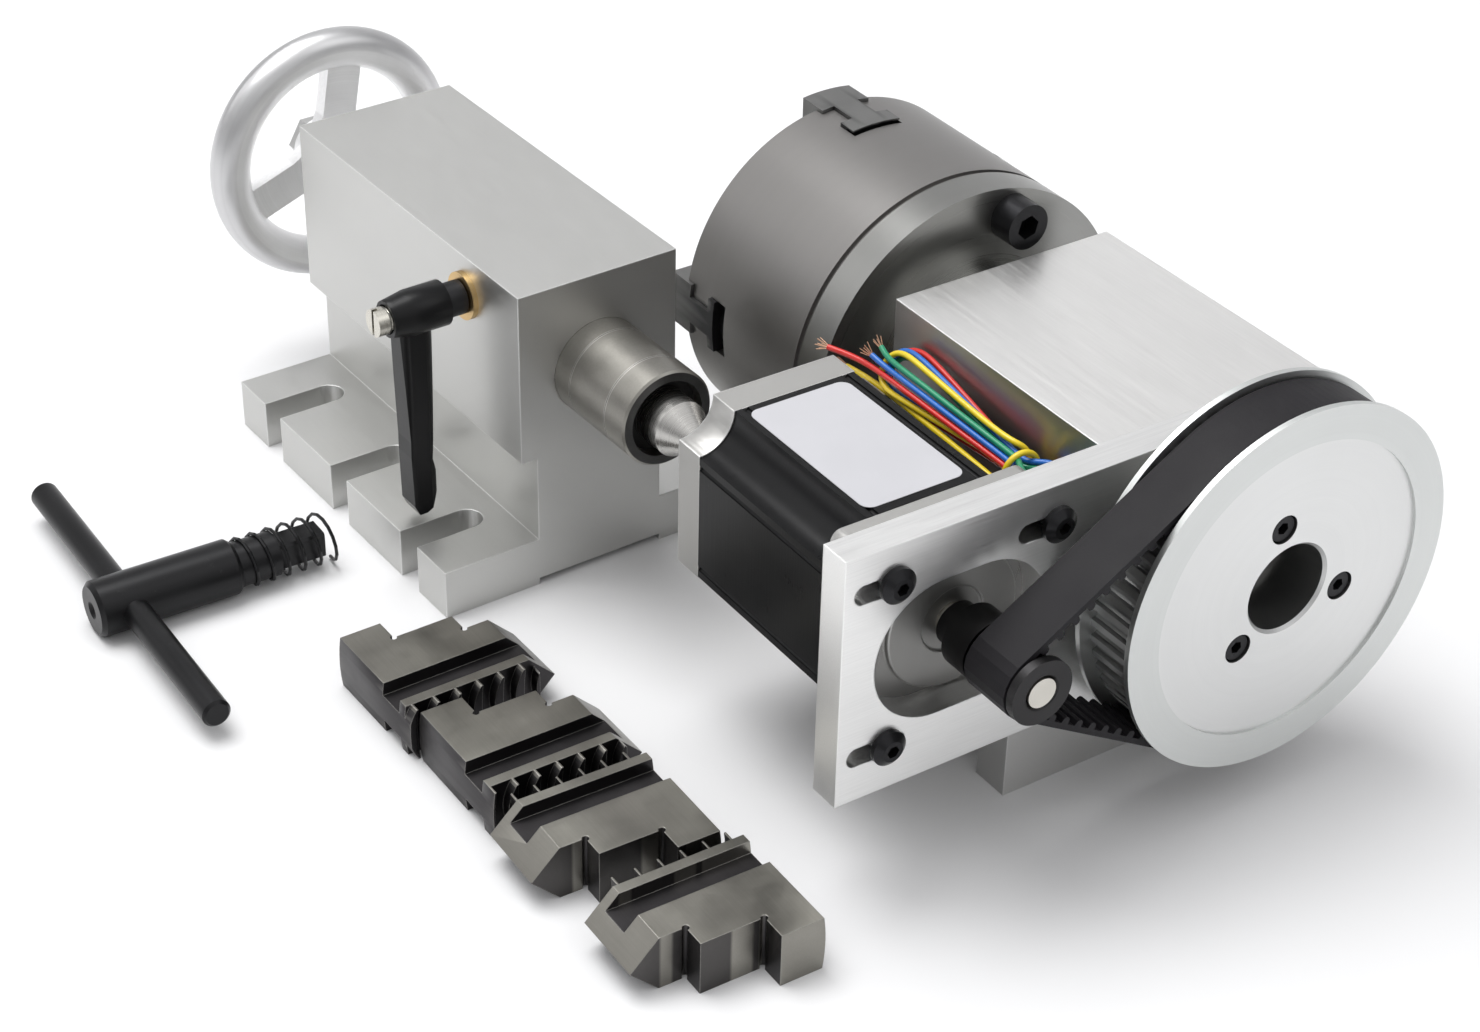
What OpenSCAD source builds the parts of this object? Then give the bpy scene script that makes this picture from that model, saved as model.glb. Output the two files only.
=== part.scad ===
// Belt-driven rotary axis set: headstock with chuck and motor, tailstock, chuck key, spare jaws.
// +Y is the spindle axis towards the chuck face, -X points to the motor, +Z is up.
// The origin lies on the base plane, under the spindle axis, at the middle of the headstock block.

/* [Headstock block] */
// Width of the block
block_w = 70; // [68:1:80]
// Length of the block along the spindle
block_l = 82; // [76:1:110]
// Height of the block
block_h = 99.5; // [98:0.5:110]
// Height of the spindle and quill axes above the base
spindle_h = 65; // [64:0.5:68]
// Width over both feet
foot_w = 110; // [106:1:130]
// Thickness of the feet
foot_t = 20; // [12:1:26]
// Width of the open clamping slots in the feet
foot_slot_w = 9.5; // [6:0.5:12]
// Distance between the two slots of one foot
foot_slot_pitch = 50; // [30:1:56]

/* [Spindle and bearings] */
// Outside diameter of the hollow spindle
spindle_d = 45; // [40:1:46]
// Through bore of the spindle
spindle_bore_d = 20; // [12:1:22]
// Thickness of a spindle bearing between its bore and its outside
bearing_section = 6.5; // [5.5:0.1:7.5]
// Width of one spindle bearing
bearing_w = 7; // [6:1:9]
// Diameter of the spindle nose flange
nose_d = 60; // [58:1:64]
// Space between the block face and the chuck back plate
nose_gap = 12; // [10:1:20]

/* [Motor plate] */
// Thickness of the motor plate
plate_t = 9; // [8:0.5:14]
// Height of the motor plate
plate_h = 71; // [68:1:72]
// Margin of the motor plate beyond the motor frame
plate_margin = 9.8; // [8:0.1:25]
// Adjustment travel for belt tension
tension_travel = 11.6; // [6:0.2:13]
// Offset of the adjusting slots from the motor axis
slot_shift = 3; // [0:0.5:4]

/* [Motor] */
// Side of the square motor frame
motor_w = 56.4; // [56:0.1:57]
// Length of the motor body
motor_l = 76; // [50:1:110]
// Thickness of the motor front flange
motor_flange_t = 11; // [8:0.5:13]
// Thickness of the motor rear cap
motor_cap_t = 9.5; // [8:0.5:14]
// Distance of the flange holes from the motor sides
motor_hole_inset = 4.63; // [4.5:0.01:4.8]
// Diameter of the motor pilot boss
pilot_d = 38.1; // [36:0.1:38.1]
// Diameter of the motor shaft
shaft_d = 8; // [6.35:0.05:8]
// Depth of the concave motor corners
corner_cut_r = 10; // [8:0.5:10]

/* [Belt drive] */
// Tooth pitch of the belt
tooth_pitch = 5; // [5:1:5]
// Number of belt teeth
belt_teeth = 70; // [70:1:72]
// Teeth of the spindle pulley
large_teeth = 60; // [60:1:60]
// Teeth of the motor pulley
small_teeth = 10; // [10:1:10]
// Width of the belt
belt_w = 15; // [12:1:15]
// Outside diameter of the spindle pulley flanges
pulley_flange_d = 101.2; // [100:0.2:104]
// Thickness of one pulley flange ring
flange_ring_t = 1.6; // [1:0.1:2]
// Bore of the spindle pulley
pulley_bore_d = 24; // [22:1:26]
// Bolt circle of the pulley screws
pulley_pcd = 38; // [36:0.5:39]

/* [Chuck] */
// Diameter of the chuck
chuck_d = 100; // [100:1:101]
// Length of the chuck body
chuck_l = 54.5; // [53:0.5:60]
// Thickness of the chuck back plate
back_plate_t = 10.5; // [9:0.5:14]
// Through bore of the chuck
chuck_bore_d = 22; // [12:1:24]
// Bolt circle of the chuck screws
chuck_pcd = 84; // [83:0.5:85]
// Width of a jaw
jaw_w = 15.6; // [14:0.1:16]
// Length of a jaw from its tip
jaw_l = 45; // [44:0.5:46]
// Height of a jaw from its teeth to its tallest step
jaw_h = 38.3; // [37:0.1:42]
// Width of the jaw neck between its guide grooves
jaw_neck_w = 8; // [7:0.1:9]
// Distance of the jaw tips from the axis at rest
jaw_open_r = 6; // [5.8:0.1:8]
// Pitch of the scroll
scroll_pitch = 6.35; // [6:0.01:6.6]
// Gap on each side of sliding chuck parts
slide_gap = 0.15; // [0.1:0.05:0.3]

/* [Tailstock] */
// Sideways place of the tailstock, as it stands in the set
tail_x = -87.7; // [-95:0.1:-87]
// Place of the tailstock front face along the spindle direction
tail_y = 102.5; // [100:0.5:130]
// Turn of the tailstock about the vertical
tail_yaw = 1.65; // [0:0.05:2]
// Length of the tailstock
tail_l = 120; // [112:1:150]
// Width of the upper tailstock block
tail_w = 50; // [48:1:50]
// Height of the tailstock
tail_h = 93; // [92:0.5:100]
// Width of the tailstock neck
tail_neck_w = 40; // [34:1:44]
// Height of the step under the upper block
tail_step_z = 41.4; // [38:0.2:44]
// Width over the tailstock base flanges
tail_base_w = 100; // [90:1:100]
// Thickness of the base flanges
tail_base_t = 15; // [12:0.5:15]
// Width of the open clamping slots in the base flanges
tail_slot_w = 9.5; // [6:0.5:12]
// Distance between neighbouring slots
tail_slot_pitch = 40; // [30:1:42]

/* [Quill and centre] */
// Diameter of the quill
quill_d = 28; // [26:0.5:28]
// Length of the quill
quill_l = 93; // [88:1:96]
// How far the quill stands out at rest
quill_out = 33.3; // [31:0.1:36]
// Diameter of the live centre head
centre_d = 16; // [12:0.5:18]
// Diameter of the lead screw
screw_d = 12; // [8:0.5:12]

/* [Handwheel] */
// Outside diameter of the handwheel
wheel_d = 80; // [70:1:90]
// Thickness of the handwheel rim
rim_d = 12; // [9:0.5:13]
// Distance of the rim from the tailstock rear face
wheel_stand = 30; // [26:1:34]

/* [Clamp lever] */
// Place of the clamp behind the tailstock front face
clamp_y = 27; // [24:1:40]
// Height of the clamp axis above the quill axis
clamp_rise = 16.5; // [16.5:0.5:18]
// Length of the lever arm
lever_l = 62.5; // [50:0.5:63]

/* [Chuck key] */
// Diameter of the key body
key_d = 16; // [14:0.5:18]
// Length of the key cross bar
key_bar_l = 120; // [80:1:140]
// Diameter of the key cross bar
key_bar_d = 8; // [6:0.5:9]
// Side of the square driving end
key_square = 8; // [7:0.1:9]

/* [Hidden] */
$fn = 64;

// Clearances
run_gap = 0.05;
part_gap = 0.3;
eps = 0.01;

// Outside of the spindle bearings
bearing_d = spindle_d + 2 * bearing_section;

// Planes along the spindle, from the pulley end to the chuck face
back_y = -block_l / 2;
front_y = block_l / 2;
plate_y = back_y - plate_t;
pulley_gap = 6.7;
channel_w = belt_w + 1.5;
boss_d = 82.4;
boss_recess = 0.8;
pulley_rear_y = plate_y - pulley_gap;
channel_rear_y = pulley_rear_y - flange_ring_t;
channel_front_y = channel_rear_y - channel_w;
pulley_front_y = channel_front_y - flange_ring_t;
register_l = 2;
back_plate_y = front_y + nose_gap;
chuck_y = back_plate_y + back_plate_t;

// Belt path
large_r = large_teeth * tooth_pitch / (2 * PI);
small_r = small_teeth * tooth_pitch / (2 * PI);
belt_len = belt_teeth * tooth_pitch;
function wrap_angle(c) = 90 + asin((large_r - small_r) / c);
function loop_len(c) = 2 * sqrt(c * c - pow(large_r - small_r, 2))
    + 2 * PI / 180 * (large_r * wrap_angle(c) + small_r * (180 - wrap_angle(c)));
function solve_centre(lo, hi, n) = n == 0 ? (lo + hi) / 2
    : loop_len((lo + hi) / 2) > belt_len ? solve_centre(lo, (lo + hi) / 2, n - 1)
    : solve_centre((lo + hi) / 2, hi, n - 1);
centre_distance = solve_centre(60, 120, 30);
motor_x = -centre_distance;
plate_reach = -motor_x + motor_w / 2 + plate_margin;
motor_pitch = motor_w - 2 * motor_hole_inset;
wrap = wrap_angle(centre_distance);
straight_l = sqrt(pow(centre_distance, 2) - pow(large_r - small_r, 2));
large_arc = large_r * wrap * PI / 180;
small_arc = small_r * (360 - 2 * wrap) * PI / 180;
pitch_line = 0.57;
groove_r = 1.55;
groove_depth = 2.1;
belt_tooth_r = 1.2;
belt_tooth_h = 1.8;
belt_back = 1.15;
land_gap = 0.15;

// Chuck heights, counted from the back of the chuck body
head_recess = 3.8;
tongue_t = 8.4;
foot_pocket = 7.2;
tongue_top = chuck_l - head_recess;
tongue_bottom = tongue_top - tongue_t;
foot_h = 6;
neck_h = tongue_t + 2 * slide_gap;
jaw_z = tongue_bottom - slide_gap - foot_h;
tooth_h = 3;
thread_h = 2.6;
scroll_top = jaw_z - 0.35;
scroll_t = 9.8;
scroll_r = 35.6;
hub_r = 14;
scroll_bore_r = hub_r + run_gap;
shoulder_r = 24;
cavity_r = 36;
cavity_top = jaw_z + thread_h + 0.4;
cover_t = 7;
cover_r = 37.3;
gear_h = 2;
ring_teeth = 40;
pinion_teeth = 10;
gear_in = 27;
gear_out = 35;
pinion_tip_r = 8.6;
pinion_root_r = 6.4;
pinion_bore_r = 9;
pinion_z = scroll_top - scroll_t - pinion_tip_r - 0.5;
pinion_angles = [45, 225];
thread_in = 15.2;
ridge_w = 2.6;
jaw_tooth_w = 2.6;
jaw_tooth_out = 13;
jaw_tooth_in = 60;
jaw_reach = jaw_open_r + jaw_l;
step_1 = 24.2;
step_2 = 30.8;
step_pitch = 17.5;
nose_back = 6.3;

// Tailstock places
quill_tail = quill_l - quill_out;
collar_t = 4;
screw_wall = 24;
tail_wall_y = tail_l - screw_wall;
cap_t = 8;
clamp_z = spindle_h + clamp_rise;
bush_r = 6;
bush_flange_r = 6.8;
bush_flange_t = 1.6;
lever_x = -tail_w / 2 - bush_flange_t;
stud_r = 2.2;
stem_l = 5.4;
insert_r = 4;
insert_l = 9;
head_l = 17;
socket_l = insert_l + 0.8;
head_wall = 2.2;
lever_lift = 3.5;
spring_l = lever_lift + 1.6;
screw_head_x = -(-lever_x + 2 * part_gap + stem_l + socket_l + head_wall + spring_l + 0.2);

// Frames of the moving groups: local Z runs along the axis towards +Y, local X stays X
module on_spindle(y) { translate([0, y, spindle_h]) rotate([-90, 0, 0]) children(); }
module on_motor(y) { translate([motor_x, y, spindle_h]) rotate([-90, 0, 0]) children(); }
module on_tail() { translate([tail_x, tail_y, 0]) rotate([0, 0, tail_yaw]) children(); }
module on_quill(y) { on_tail() translate([0, y, spindle_h]) rotate([-90, 0, 0]) children(); }
module on_clamp(x) { on_tail() translate([x, clamp_y, clamp_z]) rotate([0, -90, 0]) children(); }

// Small building blocks
module tube(r_out, r_in, h) {
    difference() {
        cylinder(r = r_out, h = h);
        translate([0, 0, -1]) cylinder(r = r_in, h = h + 2);
    }
}

module ring_of(count, r, start = 0) {
    for (k = [0 : count - 1]) rotate([0, 0, start + 360 * k / count]) translate([r, 0, 0]) children();
}

module square_of(pitch) {
    for (sx = [-1, 1], sy = [-1, 1]) translate([sx * pitch / 2, sy * pitch / 2, 0]) children();
}

// Socket head screw: the head stands on the plane z = 0 and points to -Z, the shank to +Z
module cap_screw(d, l, head_d, head_h, key) {
    difference() {
        union() {
            translate([0, 0, -head_h]) cylinder(r = head_d / 2, h = head_h);
            cylinder(r = d / 2, h = l);
        }
        translate([0, 0, -head_h - eps]) cylinder(r = key / sqrt(3), h = head_h * 0.6, $fn = 6);
    }
}

// Button head screw with a domed head made of two cones
module button_screw(d, l, head_d, head_h, key) {
    difference() {
        union() {
            translate([0, 0, -head_h * 0.5]) cylinder(r = head_d / 2, h = head_h * 0.5);
            translate([0, 0, -head_h]) cylinder(r1 = head_d * 0.3, r2 = head_d / 2, h = head_h * 0.5);
            cylinder(r = d / 2, h = l);
        }
        translate([0, 0, -head_h - eps]) cylinder(r = key / sqrt(3), h = head_h * 0.65, $fn = 6);
    }
}

module rounded_rect(w, h, r) {
    square([w - 2 * r, h], center = true);
    square([w, h - 2 * r], center = true);
    for (sx = [-1, 1], sy = [-1, 1]) translate([sx * (w / 2 - r), sy * (h / 2 - r)]) circle(r);
}

// Slot that opens to +X: a straight run with a round inner end at the origin
module open_slot(w, reach) {
    circle(w / 2);
    translate([0, -w / 2]) square([reach, w]);
}

// Headstock block
foot_tip_x = block_w / 2 + 6 + foot_slot_w / 2;

module foot_slots() {
    for (side = [0, 180], sy = [-1, 1])
        translate([0, sy * foot_slot_pitch / 2, -1]) rotate([0, 0, side]) translate([foot_tip_x, 0, 0])
            linear_extrude(foot_t + 2) open_slot(foot_slot_w, foot_w / 2);
}

plate_screw_x = 26;
plate_screw_rise = 25;

module plate_screw_places() {
    for (sx = [-1, 1], sz = [-1, 1])
        translate([sx * plate_screw_x, plate_y + 6, spindle_h + sz * plate_screw_rise])
            rotate([-90, 0, 0]) children();
}

module headstock_block() {
    color("gainsboro") difference() {
        union() {
            translate([-block_w / 2, back_y, 0]) cube([block_w, block_l, block_h]);
            translate([-foot_w / 2, back_y, 0]) cube([foot_w, block_l, foot_t]);
        }
        foot_slots();
        on_spindle(back_y - 1) cylinder(r = bearing_d / 2 - 3.2, h = block_l + 2);
        on_spindle(back_y - 1) cylinder(r = bearing_d / 2, h = bearing_w + 1);
        on_spindle(bearing_ys[1]) cylinder(r = bearing_d / 2, h = front_y - bearing_ys[1] + 1);
        plate_screw_places() cylinder(r = 3, h = 20);
    }
}

// Spindle bearings: outer rings carry the shields, inner rings sit on the spindle
seal_t = 3;
race_share = 0.34;
inner_race_r = spindle_d / 2 + race_share * bearing_section;
shim_t = 0.3;
bearing_ys = [back_y, front_y - seal_t - 2 * bearing_w - shim_t, front_y - seal_t - bearing_w];

module spindle_bearing_outers() {
    color("silver") for (y = bearing_ys) on_spindle(y) {
        tube(bearing_d / 2, bearing_d / 2 - 2, bearing_w);
        tube(bearing_d / 2 - 2, inner_race_r + part_gap, 0.6);
        translate([0, 0, bearing_w - 0.6]) tube(bearing_d / 2 - 2, inner_race_r + part_gap, 0.6);
    }
}

module spindle_bearing_inners() {
    color("silver") for (y = bearing_ys) on_spindle(y) tube(inner_race_r, spindle_d / 2, bearing_w);
}

module front_seal() {
    color("dimgray") on_spindle(front_y - seal_t) tube(bearing_d / 2, inner_race_r, seal_t);
}

// Hollow spindle with its nose flange
flange_y = front_y + 2.3;
nose_spigot = 4;
nose_screw_r = 26;

module spindle() {
    color("silver") difference() {
        union() {
            on_spindle(pulley_rear_y - register_l)
                cylinder(r = spindle_d / 2, h = front_y - pulley_rear_y + register_l);
            on_spindle(front_y - seal_t) cylinder(r = inner_race_r - part_gap, h = seal_t + nose_gap);
            on_spindle(flange_y) cylinder(r = nose_d / 2, h = back_plate_y - flange_y);
            on_spindle(front_y) cylinder(r = spindle_d / 2, h = nose_gap + nose_spigot);
        }
        on_spindle(pulley_rear_y - register_l - 1)
            cylinder(r = spindle_bore_d / 2, h = chuck_y - pulley_rear_y + register_l);
        on_spindle(pulley_rear_y - register_l - 1) pulley_screw_places() cylinder(r = 2, h = 13);
        on_spindle(flange_y - 1) ring_of(4, nose_screw_r, 45) cylinder(r = 2.5, h = nose_gap);
    }
}

module spindle_nut() {
    color("dimgray") on_spindle(back_y - 7) difference() {
        tube(inner_race_r - 0.2, spindle_d / 2, 7);
        ring_of(4, inner_race_r) translate([-0.8, -2.5, 2]) cube([4, 5, 3]);
    }
}

// Motor plate with its tension slots
plate_bottom = block_h - plate_h;
plate_motor_x = motor_x - slot_shift;

module plate_slot(r) {
    translate([-tension_travel / 2, 0]) circle(r);
    translate([tension_travel / 2, 0]) circle(r);
    square([tension_travel, 2 * r], center = true);
}

module motor_plate() {
    color("lightgray") difference() {
        translate([-plate_reach, plate_y, plate_bottom]) cube([plate_reach + block_w / 2, plate_t, plate_h]);
        on_spindle(plate_y - 1) cylinder(r = inner_race_r + 0.8, h = plate_t + 2);
        translate([plate_motor_x, plate_y - 1, spindle_h]) rotate([-90, 0, 0]) {
            linear_extrude(plate_t + 2) plate_slot(pilot_d / 2 + 0.45);
            square_of(motor_pitch) linear_extrude(plate_t + 2) plate_slot(2.75);
        }
        plate_screw_places() cylinder(r = 3, h = 20);
        plate_screw_places() translate([0, 0, -7]) cylinder(r = 5, h = 7);
    }
}

module plate_screws() {
    color("dimgray") plate_screw_places() cap_screw(6, 20, 10, 5.8, 5);
}

// Toothed pulley outline: grooves are round-bottomed, one of them at the angle start
function groove_point(r, a, k) = let (x = groove_r * cos(k), d = groove_depth - groove_r,
    y = sqrt(r * r - x * x) + (k > 180 && k < 360 ? -d + groove_r * sin(k) : 0))
    [y * cos(a) - x * sin(a), y * sin(a) + x * cos(a)];

module toothed_outline(teeth, start) {
    r = teeth * tooth_pitch / (2 * PI) - pitch_line;
    polygon([for (t = [0 : teeth - 1], k = [180 : 30 : 360]) groove_point(r, start + 360 * t / teeth, k)]);
}

module pulley_screw_places() {
    ring_of(3, pulley_pcd / 2, -102) children();
}

module large_pulley() {
    color("lightgray") difference() {
        union() {
            on_spindle(channel_front_y) linear_extrude(channel_w) toothed_outline(large_teeth, 0);
            on_spindle(pulley_front_y + boss_recess) cylinder(r = boss_d / 2, h = flange_ring_t);
            on_spindle(channel_rear_y - 1) cylinder(r = boss_d / 2, h = flange_ring_t + 1);
        }
        on_spindle(pulley_front_y - 1) cylinder(r = pulley_bore_d / 2, h = 30);
        on_spindle(pulley_front_y + boss_recess - eps)
            cylinder(r1 = pulley_bore_d / 2 + 0.8, r2 = pulley_bore_d / 2, h = 0.8);
        on_spindle(pulley_rear_y - register_l) cylinder(r = spindle_d / 2, h = register_l + 1);
        on_spindle(pulley_front_y) pulley_screw_places() {
            cylinder(r = 2, h = 30);
            cylinder(r = 4, h = 5.4);
        }
    }
}

module pulley_flanges() {
    color("whitesmoke") for (y = [pulley_front_y, channel_rear_y])
        on_spindle(y) tube(pulley_flange_d / 2, boss_d / 2, flange_ring_t);
}

module pulley_screws() {
    color("dimgray") on_spindle(pulley_front_y + 5.4) pulley_screw_places() cap_screw(4, 22, 7, 4, 3);
}

// Timing belt: teeth inwards, laid along the loop by its pitch line
function arc_point(cx, r, a) = [cx + r * cos(a), r * sin(a)];
function belt_point(s, n) =
    s < large_arc ? arc_point(0, large_r + n, s / large_r * 180 / PI)
    : s < large_arc + straight_l ? arc_point(0, large_r + n, wrap)
        + (s - large_arc) * [cos(wrap + 90), sin(wrap + 90)]
    : s < large_arc + straight_l + small_arc
        ? arc_point(motor_x, small_r + n, wrap + (s - large_arc - straight_l) / small_r * 180 / PI)
    : s < large_arc + 2 * straight_l + small_arc ? arc_point(motor_x, small_r + n, -wrap)
        + (s - large_arc - straight_l - small_arc) * [cos(90 - wrap), sin(90 - wrap)]
    : arc_point(0, large_r + n, -(belt_len - s) / large_r * 180 / PI);
function belt_tooth_point(s, k) = belt_point((s + belt_len + belt_tooth_r * cos(k)) % belt_len,
    -pitch_line + land_gap + (k > 180 && k < 360 ? belt_tooth_r * sin(k) - belt_tooth_h + belt_tooth_r : 0));

module timing_belt() {
    color("#1c1c1e") on_spindle(channel_front_y + (channel_w - belt_w) / 2) linear_extrude(belt_w) difference() {
        polygon([for (s = [0 : tooth_pitch / 2 : belt_len - 1]) belt_point(s, belt_back)]);
        polygon([for (t = [0 : belt_teeth - 1], k = [180 : 36 : 360]) belt_tooth_point(t * tooth_pitch, k)]);
    }
}

// Motor pulley: front disc, toothed part and hub with a set screw
small_disc_r = 8.8;
hub_y = back_y - 8.6;
hub_neck_r = 6;
hub_neck_l = 5.6;
set_screw_y = plate_y - 2.5;
set_screw_angle = 300;
set_screw_l = 4.5;

module small_pulley() {
    color("#2b2b2d") difference() {
        union() {
            on_motor(pulley_front_y - 0.6) cylinder(r = small_disc_r, h = 2.4);
            on_motor(channel_front_y - 0.2) linear_extrude(channel_w + 0.8) toothed_outline(small_teeth, 180);
            on_motor(channel_rear_y + 0.3) cylinder(r = small_disc_r - 0.2, h = hub_y - channel_rear_y - 0.3);
            on_motor(hub_y - 1) cylinder(r = hub_neck_r, h = hub_neck_l + 1);
        }
        on_motor(pulley_front_y - 2) cylinder(r = shaft_d / 2, h = 60);
        on_motor(pulley_front_y - 0.6 - eps) cylinder(r1 = shaft_d / 2 + 0.9, r2 = shaft_d / 2, h = 0.9);
        set_screw_place() translate([0, 0, -2]) cylinder(r = 2, h = 20);
    }
}

module set_screw_place() {
    on_motor(set_screw_y) rotate([0, 0, -set_screw_angle]) translate([shaft_d / 2, 0, 0]) rotate([0, 90, 0])
        children();
}

module pulley_set_screw() {
    color("#2b2b2d") set_screw_place() difference() {
        cylinder(r = 2, h = set_screw_l);
        translate([0, 0, set_screw_l - 2]) cylinder(r = 1.15, h = 3, $fn = 6);
    }
}

// Stepper motor
module motor_outline(cut_r) {
    difference() {
        square(motor_w, center = true);
        square_of(motor_w) circle(cut_r);
    }
}

module motor_flange() {
    color("silver") difference() {
        union() {
            on_motor(back_y) linear_extrude(motor_flange_t) rounded_rect(motor_w, motor_w, 3);
            on_motor(back_y - 1.6) cylinder(r = pilot_d / 2, h = 2);
        }
        on_motor(back_y - 2) cylinder(r = shaft_d / 2 + run_gap, h = motor_flange_t + 3);
        on_motor(back_y - 1.6 - eps) cylinder(r = 9, h = 1);
        on_motor(back_y - 1) square_of(motor_pitch) cylinder(r = 2.5, h = motor_flange_t + 2);
    }
}

stator_y = back_y + motor_flange_t;
stator_l = motor_l - motor_flange_t - motor_cap_t;
groove_pitch = 30;

module motor_stator() {
    color("#202022") on_motor(stator_y) difference() {
        linear_extrude(stator_l) difference() {
            motor_outline(corner_cut_r + 0.4);
            circle(15);
            for (a = [0 : 90 : 270]) rotate(a) for (s = [-1, 1])
                translate([motor_w / 2, s * groove_pitch / 2]) circle(0.8);
        }
        translate([0, 0, stator_l]) case_screw_places() translate([0, 0, -10]) cylinder(r = 1.5, h = 12);
    }
}

cap_y = back_y + motor_l - motor_cap_t;
case_hole_inset = 9.7;
case_pitch = motor_w - 2 * case_hole_inset;

module case_screw_places() { square_of(case_pitch) children(); }

module motor_rear_cap() {
    color("silver") on_motor(cap_y) difference() {
        linear_extrude(motor_cap_t) motor_outline(corner_cut_r);
        translate([0, 0, -1]) cylinder(r = 15, h = 3);
        translate([0, 0, -1]) cylinder(r = shaft_d / 2 + run_gap, h = motor_cap_t - 1);
        case_screw_places() translate([0, 0, -1]) cylinder(r = 1.5, h = 20);
    }
}

module motor_mount_screws() {
    color("#2b2b2d") on_motor(plate_y) square_of(motor_pitch)
        button_screw(5, plate_t + motor_flange_t + 1, 9.5, 3, 3);
}

module motor_case_screws() {
    color("dimgray") on_motor(back_y + motor_l) case_screw_places()
        mirror([0, 0, 1]) button_screw(3, motor_cap_t + 8, 5.6, 2, 2);
}

label_size = [29.6, 50.6];
label_shift = [-1.2, 38.9];

module motor_label() {
    color("white") translate([motor_x + label_shift[0], back_y + label_shift[1], spindle_h + motor_w / 2])
        linear_extrude(0.15) rounded_rect(label_size[0], label_size[1], 3);
}

module motor_shaft() {
    color("silver") on_motor(pulley_front_y - 0.6) cylinder(r = shaft_d / 2,
        h = back_y + motor_l - 4 - pulley_front_y);
    color("silver") on_motor(stator_y + 4) tube(14.6, shaft_d / 2, stator_l - 8);
}

// Motor leads: out of a grommet, forward along the gap, up beside the plate and into the folded hank
motor_side_x = motor_x + motor_w / 2;
grommet_y = back_y + motor_l - motor_cap_t / 2;
grommet_z = 58;
grommet_out = 2;
lead_d = 1.6;
lead_step = 2;

module lead_grommet() {
    color("#2b2b2d") difference() {
        translate([motor_side_x, grommet_y - 4, grommet_z - 5]) cube([grommet_out, 8, 10]);
        for (k = [0 : 3]) translate([motor_side_x - 1, grommet_y, grommet_z + (k - 1.5) * lead_step])
            rotate([0, 90, 0]) cylinder(r = lead_d / 2 + 0.1, h = 5);
    }
}

hank_front = back_y + 8;
hank_back = back_y + 73.5;
hank_x = -42;
hank_z = 86.25;
hank_w = 12;
hank_h = 13.5;

module lead_hank() {
    color("goldenrod") translate([hank_x - hank_w / 2, (hank_front + hank_back) / 2, hank_z])
        rotate([0, 90, 0]) linear_extrude(hank_w) rotate(90)
            rounded_rect(hank_back - hank_front, hank_h, hank_h / 2 - 0.5);
}

// Route points of the leads as they lie, in the part's frame, by colour
yellow_in = [[-48, 30.25, 55], [-46, 30.25, 55], [-44, 29.6, 55], [-42.9, 28.2, 55], [-42.5, 26, 55],
    [-42.5, -26, 55], [-42.5, -31.5, 56.5], [-42.5, -35.5, 60.5], [-42.5, -37, 66],
    [-42.5, -37, 78], [-42.6, -36.1, 81.4], [-43, -33.6, 83.9], [-43.3, -30.3, 84.8], [-43.3, -24, 84.8]];
yellow_out = [[-46.5, 30, 81.9], [-46.8, 36.5, 82], [-48.5, 43, 82.5]];
blue_in = [[-48, 30.25, 57], [-46, 30.25, 57], [-44, 29.6, 57], [-42.9, 28.2, 57], [-42.5, 26, 57],
    [-42.5, -26, 57], [-42.5, -30.5, 58.2], [-42.5, -33.8, 61.5], [-42.5, -35, 66],
    [-42.5, -35, 78.4], [-42.5, -34.3, 80.9], [-42.5, -32.5, 82.7], [-42.5, -30, 83.4], [-42.5, -24, 83.4]];
blue_out = [[-46.2, 29.5, 88.5], [-46.4, 32, 88.9], [-46.8, 34.6, 89.6]];
green_in = [[-48, 30.25, 59], [-46, 30.25, 59], [-44, 29.6, 59], [-42.9, 28.2, 59], [-42.5, 26, 59],
    [-42.5, -26, 59], [-42.5, -29.5, 59.9], [-42.5, -32.1, 62.5], [-42.5, -33, 66],
    [-42.5, -33, 78], [-42, -32.3, 80.6], [-41.1, -30.6, 82], [-40.7, -28, 83.3], [-40.8, -24, 83.3]];
green_out = [[-45, 29, 90.2], [-44.5, 31.8, 90.4], [-43.8, 34.6, 91]];
red_in = [[-48, 30.25, 61], [-46, 30.25, 61], [-44, 29.6, 61], [-42.9, 28.2, 61], [-42.5, 26, 61],
    [-42.5, -26, 61], [-42.5, -28.5, 61.7], [-42.5, -30.3, 63.5], [-42.5, -31, 66],
    [-42.5, -31, 78], [-42.4, -30.5, 79.9], [-42.1, -29, 81.4], [-41.7, -27, 81.9], [-41.7, -24, 81.9]];
red_out = [[-46.9, 31, 86.8], [-47.4, 36, 86.8], [-49, 42.5, 86.7], [-51, 48, 86.5]];

function unit(v) = v / norm(v);
function path_dir(p, i) = unit(p[min(i + 1, len(p) - 1)] - p[max(i - 1, 0)]);
function side_of(t) = unit(cross(t, abs(t[2]) > 0.9 ? [1, 0, 0] : [0, 0, 1]));

// Tube swept along a list of points with flat ends
module swept_tube(path, r, sides) {
    n = len(path);
    points = [for (i = [0 : n - 1]) let (t = path_dir(path, i), u = side_of(t), v = cross(t, u))
        for (k = [0 : sides - 1]) path[i] + r * (cos(360 * k / sides) * u + sin(360 * k / sides) * v)];
    lower = [for (i = [0 : n - 2], k = [0 : sides - 1])
        [i * sides + k, (i + 1) * sides + k, (i + 1) * sides + (k + 1) % sides]];
    upper = [for (i = [0 : n - 2], k = [0 : sides - 1])
        [i * sides + k, (i + 1) * sides + (k + 1) % sides, i * sides + (k + 1) % sides]];
    caps = [[for (k = [0 : sides - 1]) k], [for (k = [sides - 1 : -1 : 0]) (n - 1) * sides + k]];
    polyhedron(points, concat(lower, upper, caps));
}

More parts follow.
